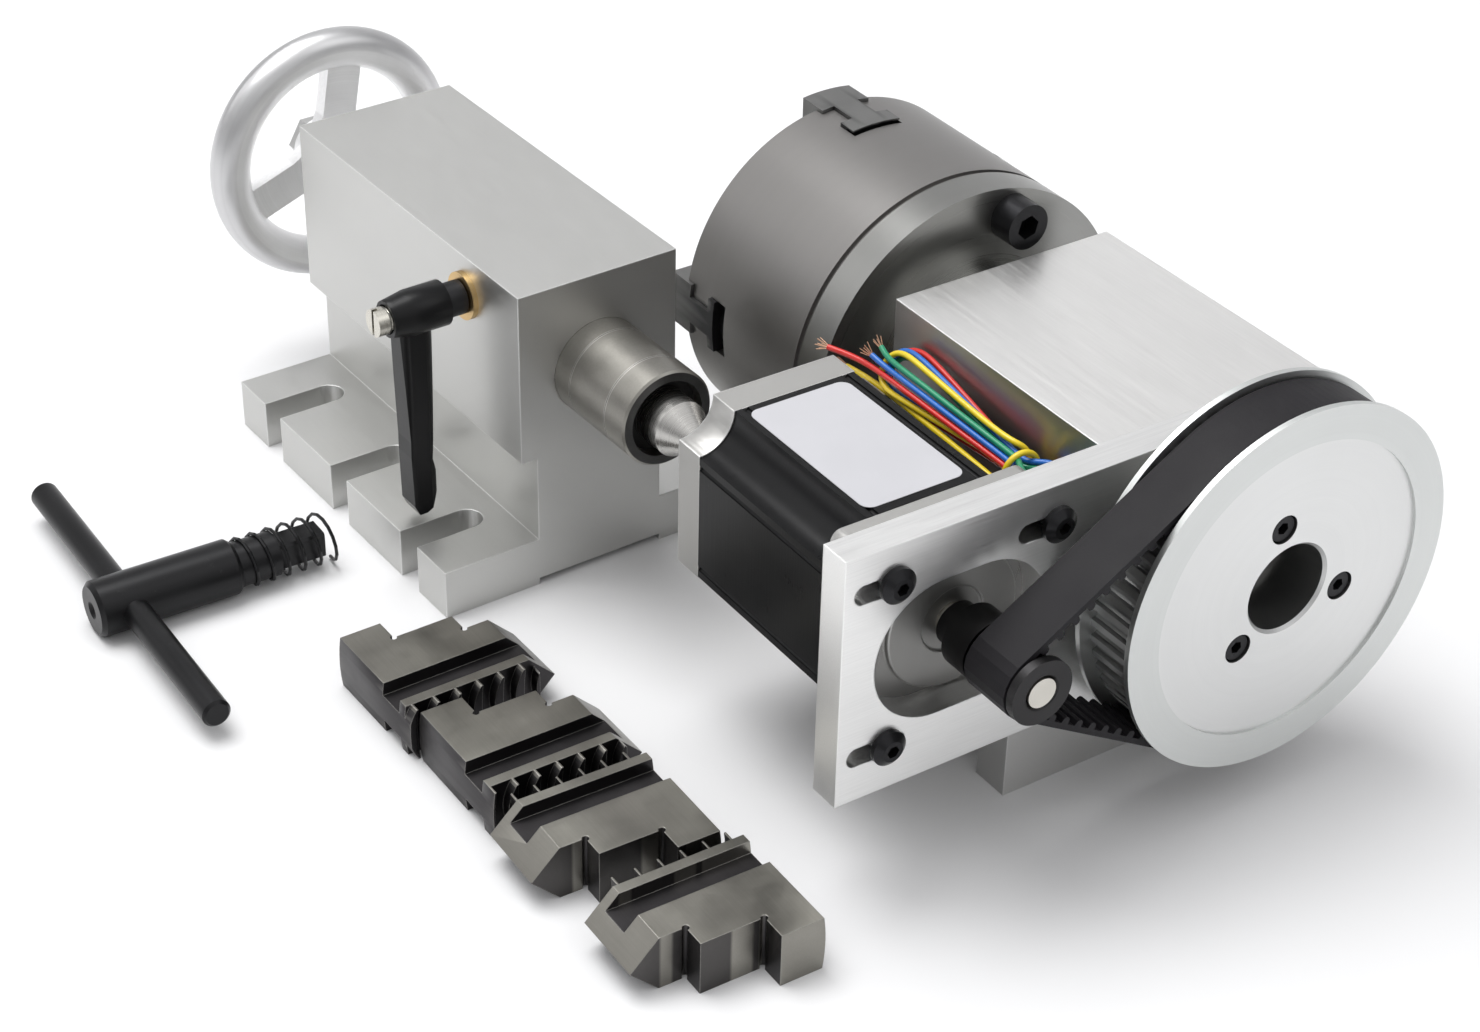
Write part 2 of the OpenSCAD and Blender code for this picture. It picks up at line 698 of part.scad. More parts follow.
module lead(in_path, out_path) {
    swept_tube(in_path, lead_d / 2, 8);
    swept_tube(out_path, lead_d / 2, 8);
}

module lead_red() { color("crimson") lead(red_in, red_out); }
module lead_yellow() { color("gold") lead(yellow_in, yellow_out); }
module lead_blue() { color("royalblue") lead(blue_in, blue_out); }
module lead_green() { color("seagreen") lead(green_in, green_out); }

// Chuck back plate
chuck_screw_angle = -75;
chuck_screw_r = 4;
chuck_screw_l = 25;
chuck_head_d = 13;
chuck_head_h = 8;
chuck_key = 6;

module chuck_screw_places() { ring_of(3, chuck_pcd / 2, chuck_screw_angle) children(); }

module chuck_back_plate() {
    color("darkgray") on_spindle(back_plate_y) difference() {
        cylinder(r = chuck_d / 2, h = back_plate_t);
        translate([0, 0, -1]) cylinder(r = chuck_bore_d / 2, h = back_plate_t + 2);
        translate([0, 0, -1]) cylinder(r = spindle_d / 2, h = nose_spigot + 1);
        translate([0, 0, -1]) chuck_screw_places() cylinder(r = chuck_screw_r + 0.25, h = back_plate_t + 2);
        translate([0, 0, -1]) ring_of(4, nose_screw_r, 45) cylinder(r = 2.5, h = back_plate_t + 2);
        translate([0, 0, back_plate_t - 5.5]) ring_of(4, nose_screw_r, 45) cylinder(r = 4.5, h = 7);
    }
}

module back_plate_screws() {
    color("dimgray") on_spindle(back_plate_y + back_plate_t - 5.5) ring_of(4, nose_screw_r, 45)
        mirror([0, 0, 1]) cap_screw(5, 13, 8.5, 5, 4);
}

module chuck_mount_screws() {
    color("#2b2b2d") on_spindle(back_plate_y) chuck_screw_places() cap_screw(2 * chuck_screw_r, chuck_screw_l,
        chuck_head_d, chuck_head_h, chuck_key);
}

// Chuck body with its four guideways, scroll cavity and pinion bores
groove_w = 1.8;
jaw_slot_w = jaw_w + 2 * slide_gap;
neck_slot_w = jaw_neck_w - 2 * slide_gap;

pin_r = 1.5;
pin_seat_r = 45.2;

module pinion_place(a) {
    rotate([0, 0, -a]) translate([0, 0, pinion_z]) rotate([0, 90, 0]) children();
}

module jaw_slot() {
    translate([0, -neck_w() / 2, tongue_bottom - 1]) cube([chuck_d, neck_w(), chuck_l]);
    translate([0, -jaw_slot_w / 2, tongue_bottom - foot_pocket]) cube([chuck_d, jaw_slot_w, foot_pocket]);
    translate([0, -jaw_slot_w / 2, tongue_top]) cube([chuck_d, jaw_slot_w, head_recess + 1]);
}

function neck_w() = jaw_neck_w + 2 * slide_gap;

module chuck_body() {
    color("darkgray") on_spindle(chuck_y) difference() {
        union() {
            cylinder(r = chuck_d / 2 - 1, h = groove_w + 0.5);
            translate([0, 0, groove_w]) cylinder(r = chuck_d / 2, h = chuck_l - groove_w - 0.8);
            translate([0, 0, chuck_l - 0.8]) cylinder(r1 = chuck_d / 2, r2 = chuck_d / 2 - 0.8, h = 0.8);
        }
        translate([0, 0, -1]) cylinder(r = chuck_bore_d / 2, h = chuck_l + 2);
        translate([0, 0, -1]) cylinder(r = cover_r, h = cover_t + 1);
        translate([0, 0, -1]) cylinder(r = cavity_r, h = cavity_top + 1);
        for (k = [0 : 3]) rotate([0, 0, -90 * k]) jaw_slot();
        for (a = pinion_angles) {
            pinion_place(a) translate([0, 0, cavity_r - 2]) cylinder(r = pinion_bore_r, h = 30);
            rotate([0, 0, -a]) translate([pin_seat_r, 0, -1]) cylinder(r = pin_r, h = 12);
        }
        translate([0, 0, -1]) chuck_screw_places() cylinder(r = chuck_screw_r, h = 17);
    }
}

module chuck_cover() {
    color("gray") on_spindle(chuck_y) difference() {
        union() {
            cylinder(r = cover_r, h = cover_t);
            cylinder(r = shoulder_r, h = scroll_top - scroll_t - part_gap);
            cylinder(r = hub_r, h = scroll_top);
        }
        translate([0, 0, -1]) cylinder(r = chuck_bore_d / 2, h = chuck_l);
    }
}

// Scroll: a spiral thread in front, a ring of drive teeth behind
function spiral(r0, s) = [(r0 + scroll_pitch * s / 360) * cos(s), -(r0 + scroll_pitch * s / 360) * sin(s)];
spiral_turn = 360 * floor((scroll_r - ridge_w / 2 - thread_in) / scroll_pitch * 12) / 12;

module spiral_ridge() {
    polygon(concat([for (s = [0 : 10 : spiral_turn]) spiral(thread_in - ridge_w / 2, s)],
        [for (s = [spiral_turn : -10 : 0]) spiral(thread_in + ridge_w / 2, s)]));
}

module scroll() {
    color("slategray") on_spindle(chuck_y) difference() {
        union() {
            translate([0, 0, scroll_top - scroll_t]) cylinder(r = scroll_r, h = scroll_t);
            translate([0, 0, scroll_top - 0.5]) linear_extrude(thread_h + jaw_z - scroll_top + 0.5) spiral_ridge();
            translate([0, 0, scroll_top - scroll_t - gear_h]) for (k = [0 : ring_teeth - 1])
                rotate([0, 0, 360 * (k + 0.5) / ring_teeth]) linear_extrude(gear_h + 0.5)
                    polygon([[gear_in, -0.55], [gear_out, -0.75], [gear_out, 0.75], [gear_in, 0.55]]);
        }
        translate([0, 0, -1]) cylinder(r = scroll_bore_r, h = chuck_l);
    }
}

// Pinion with a square socket in its outer end
module pinion(a) {
    color("dimgray") on_spindle(chuck_y) pinion_place(a) difference() {
        union() {
            translate([0, 0, gear_in - 0.5]) cylinder(r = pinion_root_r, h = 12);
            translate([0, 0, gear_in - 0.5]) linear_extrude(gear_out - gear_in + 0.5)
                for (k = [0 : pinion_teeth - 1]) rotate(360 * k / pinion_teeth)
                    polygon([[pinion_root_r - 0.6, -0.9], [pinion_tip_r, -0.55], [pinion_tip_r, 0.55],
                        [pinion_root_r - 0.6, 0.9]]);
            translate([0, 0, cavity_r + 0.4]) cylinder(r = pinion_bore_r - run_gap, h = chuck_d / 2 - cavity_r - 1);
        }
        translate([-key_socket / 2, -key_socket / 2, chuck_d / 2 - 14]) cube([key_socket, key_socket, 16]);
        translate([0, 0, pin_seat_r - pin_r - 0.2]) tube(pinion_bore_r + 1, pinion_bore_r - 2, 2 * pin_r + 0.4);
    }
}

key_socket = key_square + 0.3;

module pinion_1() { pinion(pinion_angles[0]); }
module pinion_2() { pinion(pinion_angles[1]); }

module pinion_pins() {
    color("dimgray") on_spindle(chuck_y) for (a = pinion_angles) rotate([0, 0, -a])
        translate([pin_seat_r, 0, 0.5]) cylinder(r = pin_r, h = pinion_z - pinion_bore_r + 2 - 0.8);
}

// Jaw in its own frame: X runs from the tip outwards, Y across, Z from the teeth to the steps
module step_outline(inside) {
    a = step_pitch - 5;
    top = inside ? [[0, jaw_h], [a, jaw_h], [a, step_2], [a + step_pitch, step_2], [a + step_pitch, step_1],
        [jaw_l, step_1]]
        : [[0, step_1], [jaw_l - a - step_pitch, step_1], [jaw_l - a - step_pitch, step_2],
        [jaw_l - a, step_2], [jaw_l - a, jaw_h], [jaw_l, jaw_h]];
    relief = inside ? [[a, step_2], [a + step_pitch, step_1]]
        : [[jaw_l - a - step_pitch, step_1], [jaw_l - a, step_2]];
    difference() {
        polygon(concat([[0, tooth_h], [0, tooth_h + 1]], top, [[jaw_l, tooth_h], [nose_back, tooth_h]]));
        for (p = relief) translate(p) circle(0.9, $fn = 32);
    }
}

module jaw_plan(end_r, end_centre) {
    intersection() {
        polygon([[0, 0], [jaw_w / 2, jaw_w / 2], [jaw_l + 2, jaw_w / 2], [jaw_l + 2, -jaw_w / 2],
            [jaw_w / 2, -jaw_w / 2]]);
        translate([end_centre, 0]) circle(end_r);
    }
}

// Jaw teeth are crescents: the outer flank is more curved than the inner one
module jaw_tooth(r) {
    intersection() {
        difference() {
            translate([r + jaw_tooth_w / 2 - jaw_tooth_out, 0]) circle(jaw_tooth_out);
            translate([r - jaw_tooth_w / 2 - jaw_tooth_in, 0]) circle(jaw_tooth_in, $fn = 256);
        }
        translate([r - 5, -jaw_w / 2]) square([10, jaw_w]);
    }
}

module jaw(index, inside) {
    first = thread_in + scroll_pitch * (index / 4 + 0.5) - jaw_open_r;
    difference() {
        intersection() {
            translate([0, jaw_w / 2, 0]) rotate([90, 0, 0]) linear_extrude(jaw_w) step_outline(inside);
            linear_extrude(jaw_h) jaw_plan(jaw_reach, -jaw_open_r);
        }
        for (s = [-1, 1]) translate([-1, s * (jaw_neck_w / 2 + 10) - 10, foot_h]) cube([jaw_l + 2, 20, neck_h]);
    }
    intersection() {
        linear_extrude(tooth_h + eps) for (n = [-2 : 6]) jaw_tooth(first + n * scroll_pitch);
        translate([nose_back, -jaw_w / 2, 0]) cube([jaw_l - nose_back, jaw_w, tooth_h + 1]);
        linear_extrude(jaw_h) jaw_plan(jaw_reach, -jaw_open_r);
    }
}

module mounted_jaw(k) {
    color("#4a4a4c") on_spindle(chuck_y + jaw_z) rotate([0, 0, -90 * k])
        translate([jaw_open_r, 0, 0]) jaw(k, true);
}

module jaw_1() { mounted_jaw(0); }
module jaw_2() { mounted_jaw(1); }
module jaw_3() { mounted_jaw(2); }
module jaw_4() { mounted_jaw(3); }

// Spare jaws lying on one side in a row: tip place, turn and number of each
spare_a = [[-130.5, 51.7, 181, 0], [-128.5, 11.5, 180, 1]];
spare_b = [[-177.2, 9.8, -1.5, 2], [-174.2, -30, -1, 3]];

module spare_jaws(list) {
    color("dimgray") for (p = list) translate([p[0], p[1], jaw_w / 2]) rotate([0, 0, p[2]])
        rotate([90, 0, 0]) jaw(p[3], false);
}

module spare_jaws_a() { spare_jaws(spare_a); }
module spare_jaws_b() { spare_jaws(spare_b); }

// Tailstock
tail_slot_tip = tail_neck_w / 2 + 6.8 + tail_slot_w / 2;
channel_h = 2;
cap_screw_r = 15;

module tail_outline() {
    translate([-tail_base_w / 2, 0]) square([tail_base_w, tail_base_t]);
    translate([-tail_neck_w / 2, 0]) square([tail_neck_w, tail_step_z + 1]);
    translate([-tail_w / 2, tail_step_z]) square([tail_w, tail_h - tail_step_z]);
}

module tailstock_body() {
    color("silver") on_tail() difference() {
        translate([0, tail_l, 0]) rotate([90, 0, 0]) linear_extrude(tail_l) tail_outline();
        translate([-tail_neck_w / 2, -1, -1]) cube([tail_neck_w, tail_l + 2, channel_h + 1]);
        for (side = [0, 180], k = [-1 : 1]) translate([0, tail_l / 2 + k * tail_slot_pitch, -1])
            rotate([0, 0, side]) translate([tail_slot_tip, 0, 0])
                linear_extrude(tail_base_t + 2) open_slot(tail_slot_w, tail_base_w / 2);
        translate([0, -1, spindle_h]) rotate([-90, 0, 0]) {
            cylinder(r = quill_d / 2 + run_gap, h = tail_wall_y + 1);
            cylinder(r = screw_d / 2 + 1, h = tail_l + 2);
            translate([0, 0, tail_l - collar_t + 1]) cylinder(r = 10 + part_gap, h = collar_t + 1);
            translate([0, 0, tail_l - 9]) ring_of(4, cap_screw_r, 45) cylinder(r = 2, h = 12);
        }
        translate([-tail_w / 2 - 1, clamp_y, clamp_z]) rotate([0, 90, 0]) cylinder(r = bush_r, h = tail_w - 2);
        translate([quill_d / 2 - 2, clamp_y, spindle_h]) rotate([0, 90, 0]) cylinder(r = 4, h = tail_w);
    }
}

module tail_end_cap() {
    color("silver") on_quill(tail_l) difference() {
        cylinder(r = 20, h = cap_t);
        translate([0, 0, -1]) cylinder(r = 5 + run_gap, h = cap_t + 2);
        translate([0, 0, -1]) ring_of(4, cap_screw_r, 45) cylinder(r = 2, h = cap_t + 2);
        translate([0, 0, cap_t - 4]) ring_of(4, cap_screw_r, 45) cylinder(r = 3.6, h = 5);
    }
}

module tail_cap_screws() {
    color("dimgray") on_quill(tail_l + cap_t - 4) ring_of(4, cap_screw_r, 45)
        mirror([0, 0, 1]) cap_screw(4, 12, 7, 3.8, 3);
}

// Quill with its keyway, lead screw thread and bearing pocket
pocket_r = 11;
centre_shaft_r = 5;
bearing_l = 16;
thread_l = 20;
key_slot_w = 5;

module quill() {
    color("silver") on_quill(-quill_out) difference() {
        union() {
            cylinder(r1 = quill_d / 2 - 0.6, r2 = quill_d / 2, h = 0.6);
            translate([0, 0, 0.6]) cylinder(r = quill_d / 2, h = quill_l - 0.6);
        }
        translate([0, 0, -1]) cylinder(r = pocket_r, h = bearing_l + 5);
        translate([0, 0, 10]) cylinder(r = 8, h = quill_l - thread_l - 10);
        translate([0, 0, 10]) cylinder(r = screw_d / 2, h = quill_l);
        translate([quill_d / 2 - 2.5, -key_slot_w / 2, quill_out - 8]) cube([4, key_slot_w, 50]);
        for (z = [9, 26]) translate([0, 0, z]) tube(quill_d / 2 + 1, quill_d / 2 - 0.15, 0.3);
    }
}

module centre_bearing() {
    color("dimgray") on_quill(-quill_out + 4) tube(pocket_r, centre_shaft_r + run_gap, bearing_l);
}

centre_front = 6.2;

module live_centre() {
    cone_l = centre_d / 2 * sqrt(3);
    color("gainsboro") on_quill(-quill_out) {
        translate([0, 0, -centre_front]) cylinder(r = centre_d / 2, h = centre_front + 3.7);
        translate([0, 0, -centre_front - cone_l]) cylinder(r1 = 0, r2 = centre_d / 2, h = cone_l);
        cylinder(r = centre_shaft_r, h = bearing_l + 4);
    }
}

screw_start = 24;

module lead_screw() {
    color("silver") on_quill(screw_start) {
        cylinder(r = screw_d / 2 - 0.1, h = tail_l - screw_start);
        translate([0, 0, tail_l - screw_start - collar_t + part_gap]) cylinder(r = 10, h = collar_t - 2 * part_gap);
        cylinder(r = 5, h = tail_l + wheel_stand + 6 - screw_start + 6);
    }
}

module quill_key_screw() {
    color("dimgray") on_tail() translate([quill_d / 2, clamp_y, spindle_h]) rotate([0, 90, 0]) difference() {
        union() {
            translate([0, 0, 0.6]) cylinder(r = 4, h = tail_w / 2 - quill_d / 2 - 1.6);
            translate([0, 0, -2]) cylinder(r = key_slot_w / 2 - 0.1, h = 4);
        }
        translate([0, 0, tail_w / 2 - quill_d / 2 - 4]) cylinder(r = 2.3, h = 5, $fn = 6);
    }
}

// Handwheel: round rim, three flat spokes and a hub
rim_r = (wheel_d - rim_d) / 2;
hub_l = 26;
wheel_hub_r = 9.4;
spoke_start = -80;
spoke_w = 11;
spoke_t = 5;

module handwheel() {
    color("lightgray") on_quill(tail_l + wheel_stand) difference() {
        union() {
            rotate_extrude() translate([rim_r, 0]) circle(rim_d / 2, $fn = 48);
            translate([0, 0, -hub_l + 6]) cylinder(r = wheel_hub_r, h = hub_l);
            for (k = [0 : 2]) rotate([0, 0, spoke_start + 120 * k]) translate([0, 0, -spoke_t / 2])
                linear_extrude(spoke_t) polygon([[6, -7], [13, -spoke_w / 2], [rim_r - 3, -spoke_w / 2],
                    [rim_r, -spoke_w / 2 - 2], [rim_r, spoke_w / 2 + 2], [rim_r - 3, spoke_w / 2],
                    [13, spoke_w / 2], [6, 7]]);
        }
        translate([0, 0, -hub_l]) cylinder(r = 5, h = 2 * hub_l);
    }
}

module handwheel_nut() {
    color("silver") on_quill(tail_l + wheel_stand + 6) difference() {
        cylinder(r = 8.6, h = 5, $fn = 6);
        translate([0, 0, -1]) cylinder(r = 5, h = 8);
    }
}

// Quill clamp: split brass sleeve across the quill, drawn together by the lever's stud
sleeve_gap = 5;

module clamp_bush() {
    color("peru") difference() {
        union() {
            on_clamp(-sleeve_gap / 2) cylinder(r = bush_r - 0.02, h = tail_w / 2 - sleeve_gap / 2);
            on_clamp(-tail_w / 2) cylinder(r = bush_flange_r, h = bush_flange_t);
            on_clamp(tail_w / 2 - 4) cylinder(r = bush_r - 0.02, h = tail_w / 2 - 4 - sleeve_gap / 2);
        }
        on_quill(0) cylinder(r = quill_d / 2 + run_gap, h = tail_l / 2);
        on_clamp(tail_w / 2) cylinder(r = stud_r + run_gap, h = tail_w + 10);
    }
}

module clamp_stud() {
    color("#2b2b2d") difference() {
        union() {
            on_clamp(tail_w / 2 - 5) cylinder(r = stud_r, h = tail_w - 5 + bush_flange_t + 2);
            on_clamp(lever_x - part_gap) cylinder(r = 4.85, h = stem_l);
            on_clamp(lever_x - part_gap - stem_l) cylinder(r = insert_r, h = insert_l);
        }
        on_clamp(lever_x - stem_l) cylinder(r = 1.5, h = insert_l + 2);
    }
}

// Lever: round head along the clamp axis, arm hanging down with a winged grip end
head_r = 6.4;
head_cone_l = 7;
screw_pocket_r = 4.2;
grip_h = 15;

module lever_side() {
    polygon([[-5, 0], [5, 0], [5, -5], [3.4, -lever_l + 23], [2.9, -lever_l + grip_h + 2],
        [3.9, -lever_l + grip_h - 2], [3.9, -lever_l + 6], [2.4, -lever_l + 1], [0.6, -lever_l],
        [-1.8, -lever_l], [-3.2, -lever_l + 3], [-3.6, -lever_l + grip_h + 4], [-3.5, -lever_l + 24]]);
}

module lever_handle() {
    head_x = lever_x - part_gap - stem_l - part_gap;
    mid_x = head_x - head_l / 2 - 1.2;
    color("#242426") difference() {
        union() {
            on_clamp(head_x) cylinder(r = head_r, h = head_l - head_cone_l);
            on_clamp(head_x - head_l + head_cone_l) cylinder(r1 = head_r, r2 = screw_pocket_r + 1, h = head_cone_l);
            on_tail() intersection() {
                translate([mid_x, clamp_y + 10, clamp_z]) rotate([90, 0, 0]) linear_extrude(20) lever_side();
                translate([mid_x, clamp_y, clamp_z - lever_l - 1]) linear_extrude(lever_l + 1)
                    rounded_rect(11, 7.6, 3.2);
            }
        }
        on_clamp(lever_x) cylinder(r = insert_r + run_gap, h = stem_l + 2 * part_gap + socket_l);
        on_clamp(lever_x) cylinder(r = 1.5 + part_gap, h = 60);
        on_clamp(head_x - socket_l - head_wall) cylinder(r = screw_pocket_r, h = 20);
    }
}

module lever_screw() {
    color("silver") difference() {
        union() {
            on_clamp(screw_head_x) cylinder(r = 3.9, h = 3.6);
            on_clamp(lever_x - stem_l - 2) cylinder(r = 1.5, h = lever_x - stem_l - 2 - screw_head_x);
        }
        on_clamp(screw_head_x - 2.2) translate([-5, -0.5, 0]) cube([10, 1, 3]);
    }
}

lever_coils = 5;
lever_wire = 0.6;
function helix(r, pitch, a) = [r * cos(a), r * sin(a), pitch * a / 360];

module lever_spring() {
    color("silver") on_clamp(screw_head_x + spring_l - lever_wire / 2 + 0.1)
        swept_tube([for (a = [0 : 30 : 360 * lever_coils])
            helix(3.1, (spring_l - lever_wire) / lever_coils, a)], lever_wire / 2, 6);
}

// Chuck key lying on the base plane
key_x = -222.1;
key_y = 145;
key_yaw = -1;
key_body_l = 41.5;
key_shank_l = 12;
key_tip_l = 14;
key_shank_d = 13;
key_bar_x = 10;
bar_shift = 0.5;

module on_key() { translate([key_x, key_y, key_d / 2]) rotate([0, 0, key_yaw]) rotate([0, 90, 0]) children(); }

module key_body() {
    color("#1f1f21") on_key() difference() {
        union() {
            cylinder(r1 = key_d / 2 - 1.2, r2 = key_d / 2, h = 1.2);
            translate([0, 0, 1.2]) cylinder(r = key_d / 2, h = key_body_l - 2.4);
            translate([0, 0, key_body_l - 1.2]) cylinder(r1 = key_d / 2, r2 = key_d / 2 - 1, h = 1.2);
            translate([0, 0, key_body_l - 1]) cylinder(r = key_shank_d / 2, h = key_shank_l + 1);
            intersection() {
                translate([-key_square / 2, -key_square / 2, key_body_l]) cube([key_square, key_square,
                    key_shank_l + key_tip_l]);
                cylinder(r = key_square / 2 + 1.2, h = key_body_l + key_shank_l + key_tip_l);
            }
        }
        translate([0, 0, -1]) cylinder(r = 1.6, h = 5);
        translate([0, 0, -eps]) cylinder(r1 = 2.6, r2 = 1.6, h = 1);
        translate([0, -key_d, key_bar_x]) rotate([-90, 0, 0]) cylinder(r = key_bar_d / 2, h = 2 * key_d);
    }
}

module key_bar() {
    color("#1f1f21") on_key() translate([0, -key_bar_l / 2 + bar_shift, key_bar_x]) rotate([-90, 0, 0]) {
        cylinder(r1 = key_bar_d / 2 - 0.8, r2 = key_bar_d / 2, h = 0.8);
        translate([0, 0, 0.8]) cylinder(r = key_bar_d / 2, h = key_bar_l - 1.6);
        translate([0, 0, key_bar_l - 0.8]) cylinder(r1 = key_bar_d / 2, r2 = key_bar_d / 2 - 0.8, h = 0.8);
    }
}

key_wire = 1;
key_coils = 6;

module key_spring() {
    coil_r = key_shank_d / 2 + key_wire / 2 + 0.1;
    length = key_shank_l + key_tip_l + 2.5;
    color("#1f1f21") on_key() translate([0, 0, key_body_l + key_wire / 2])
        swept_tube([for (a = [0 : 24 : 360 * key_coils]) helix(coil_r, length / key_coils, a)], key_wire / 2, 6);
}

headstock_block();
spindle_bearing_outers();
spindle_bearing_inners();
front_seal();
spindle();
spindle_nut();
motor_plate();
plate_screws();
large_pulley();
pulley_flanges();
pulley_screws();
timing_belt();
small_pulley();
pulley_set_screw();
motor_shaft();
motor_flange();
motor_stator();
motor_rear_cap();
motor_mount_screws();
motor_case_screws();
motor_label();
lead_grommet();
lead_red();
lead_yellow();
lead_blue();
lead_green();
lead_hank();
chuck_back_plate();
back_plate_screws();
chuck_mount_screws();
chuck_body();
chuck_cover();
scroll();
pinion_1();
pinion_2();
pinion_pins();
jaw_1();
jaw_2();
jaw_3();
jaw_4();
tailstock_body();
tail_end_cap();
tail_cap_screws();
quill();
live_centre();
centre_bearing();
lead_screw();
handwheel();
handwheel_nut();
quill_key_screw();
clamp_bush();
clamp_stud();
lever_handle();
lever_screw();
lever_spring();
key_body();
key_bar();
key_spring();
spare_jaws_a();
spare_jaws_b();
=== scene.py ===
import math
import random

import bmesh
import bpy
from mathutils import Matrix, Vector


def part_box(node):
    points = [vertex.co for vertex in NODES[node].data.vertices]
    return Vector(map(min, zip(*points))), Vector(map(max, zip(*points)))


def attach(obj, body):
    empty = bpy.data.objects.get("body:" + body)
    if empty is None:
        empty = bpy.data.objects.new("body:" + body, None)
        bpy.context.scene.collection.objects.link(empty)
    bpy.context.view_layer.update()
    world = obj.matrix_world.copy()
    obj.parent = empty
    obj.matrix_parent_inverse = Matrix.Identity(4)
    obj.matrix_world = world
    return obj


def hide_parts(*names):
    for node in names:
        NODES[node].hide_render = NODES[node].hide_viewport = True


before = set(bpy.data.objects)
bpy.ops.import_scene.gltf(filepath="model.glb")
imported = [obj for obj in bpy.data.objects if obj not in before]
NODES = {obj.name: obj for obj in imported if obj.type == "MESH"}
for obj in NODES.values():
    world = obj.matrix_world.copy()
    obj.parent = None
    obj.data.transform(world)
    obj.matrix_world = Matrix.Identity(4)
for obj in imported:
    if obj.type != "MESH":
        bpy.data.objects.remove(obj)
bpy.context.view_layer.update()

MM = 0.001
X, Y, Z = (1, 0, 0), (0, 1, 0), (0, 0, 1)

# Places in the frame, in metres
SPINDLE_Z = 0.065
SPINDLE = (0, 0, SPINDLE_Z)
motor_low, motor_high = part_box("motor_shaft")
MOTOR = ((motor_low.x + motor_high.x) / 2, 0, SPINDLE_Z)
TAIL = (-0.0877, 0.1025, SPINDLE_Z)
TAIL_YAW = math.radians(1.65)
TAIL_AXIS = (-math.sin(TAIL_YAW), math.cos(TAIL_YAW), 0)
LEVER_AXIS = (-math.cos(TAIL_YAW), -math.sin(TAIL_YAW), 0)
CLAMP_ALONG, CLAMP_Z = 0.027, 0.0815
CLAMP = (TAIL[0] + CLAMP_ALONG * TAIL_AXIS[0], TAIL[1] + CLAMP_ALONG * TAIL_AXIS[1], CLAMP_Z)

# Camera: the photograph's, fitted to the straight edges of the set
IMAGE_W = 1480
AZIMUTH, ELEVATION, ROLL = map(math.radians, (-34.262, 33.910, 1.385))
FOCAL_PX = 2952.9
SENSOR_MM = 36
CLIP_NEAR, CLIP_FAR = 0.05, 20
# The point on the base plane under the block's pulley end, as the camera sees it: right, up and away
TARGET_X, TARGET_Y, TARGET_DISTANCE = 0.112738, -0.055121, 0.777840
BLOCK_HALF = 0.041


def make_camera():
    back = Vector((math.sin(AZIMUTH) * math.cos(ELEVATION), -math.cos(AZIMUTH) * math.cos(ELEVATION),
                   math.sin(ELEVATION)))
    right = (-back).cross(Vector(Z)).normalized()
    up = right.cross(-back)
    c, s = math.cos(ROLL), math.sin(ROLL)
    x_axis, y_axis = c * right + s * up, -s * right + c * up
    shift = Vector((0, BLOCK_HALF, 0))
    eye = -(TARGET_X * x_axis + TARGET_Y * y_axis - TARGET_DISTANCE * back) - shift
    data = bpy.data.cameras.new("camera")
    data.sensor_width = SENSOR_MM
    data.lens = FOCAL_PX * SENSOR_MM / IMAGE_W
    data.clip_start, data.clip_end = CLIP_NEAR, CLIP_FAR
    camera = bpy.data.objects.new("camera", data)
    axes = Matrix((x_axis, y_axis, back)).transposed()
    camera.matrix_world = Matrix.Translation(eye) @ axes.to_4x4()
    bpy.context.scene.collection.objects.link(camera)
    bpy.context.scene.camera = camera


make_camera()


# The four motor leads: out of the grommet, back along the gap, three runs in the hank, then bare ends
LEAD_D = 0.0016
# A point's radius counts in the curve's box, so it is small and the bevel depth is larger by as much
POINT_RADIUS = 0.001
# Route points repeat part.scad: millimetres in the part's frame
TIE_Y, FAR_Y = -22.5, 25.0
LEAD_IN = {
    "yellow": [(-48, 30.25, 55), (-46, 30.25, 55), (-44, 29.6, 55), (-42.9, 28.2, 55), (-42.5, 26, 55),
               (-42.5, -26, 55), (-42.5, -31.5, 56.5), (-42.5, -35.5, 60.5), (-42.5, -37, 66),
               (-42.5, -37, 78), (-42.6, -36.1, 81.4), (-43, -33.6, 83.9), (-43.3, -30.3, 84.8)],
    "blue": [(-48, 30.25, 57), (-46, 30.25, 57), (-44, 29.6, 57), (-42.9, 28.2, 57), (-42.5, 26, 57),
             (-42.5, -26, 57), (-42.5, -30.5, 58.2), (-42.5, -33.8, 61.5), (-42.5, -35, 66),
             (-42.5, -35, 78.4), (-42.5, -34.3, 80.9), (-42.5, -32.5, 82.7), (-42.5, -30, 83.4)],
    "green": [(-48, 30.25, 59), (-46, 30.25, 59), (-44, 29.6, 59), (-42.9, 28.2, 59), (-42.5, 26, 59),
              (-42.5, -26, 59), (-42.5, -29.5, 59.9), (-42.5, -32.1, 62.5), (-42.5, -33, 66),
              (-42.5, -33, 78), (-42, -32.3, 80.6), (-41.1, -30.6, 82), (-40.7, -28, 83.3)],
    "red": [(-48, 30.25, 61), (-46, 30.25, 61), (-44, 29.6, 61), (-42.9, 28.2, 61), (-42.5, 26, 61),
            (-42.5, -26, 61), (-42.5, -28.5, 61.7), (-42.5, -30.3, 63.5), (-42.5, -31, 66),
            (-42.5, -31, 78), (-42.4, -30.5, 79.9), (-42.1, -29, 81.4), (-41.7, -27, 81.9)],
}
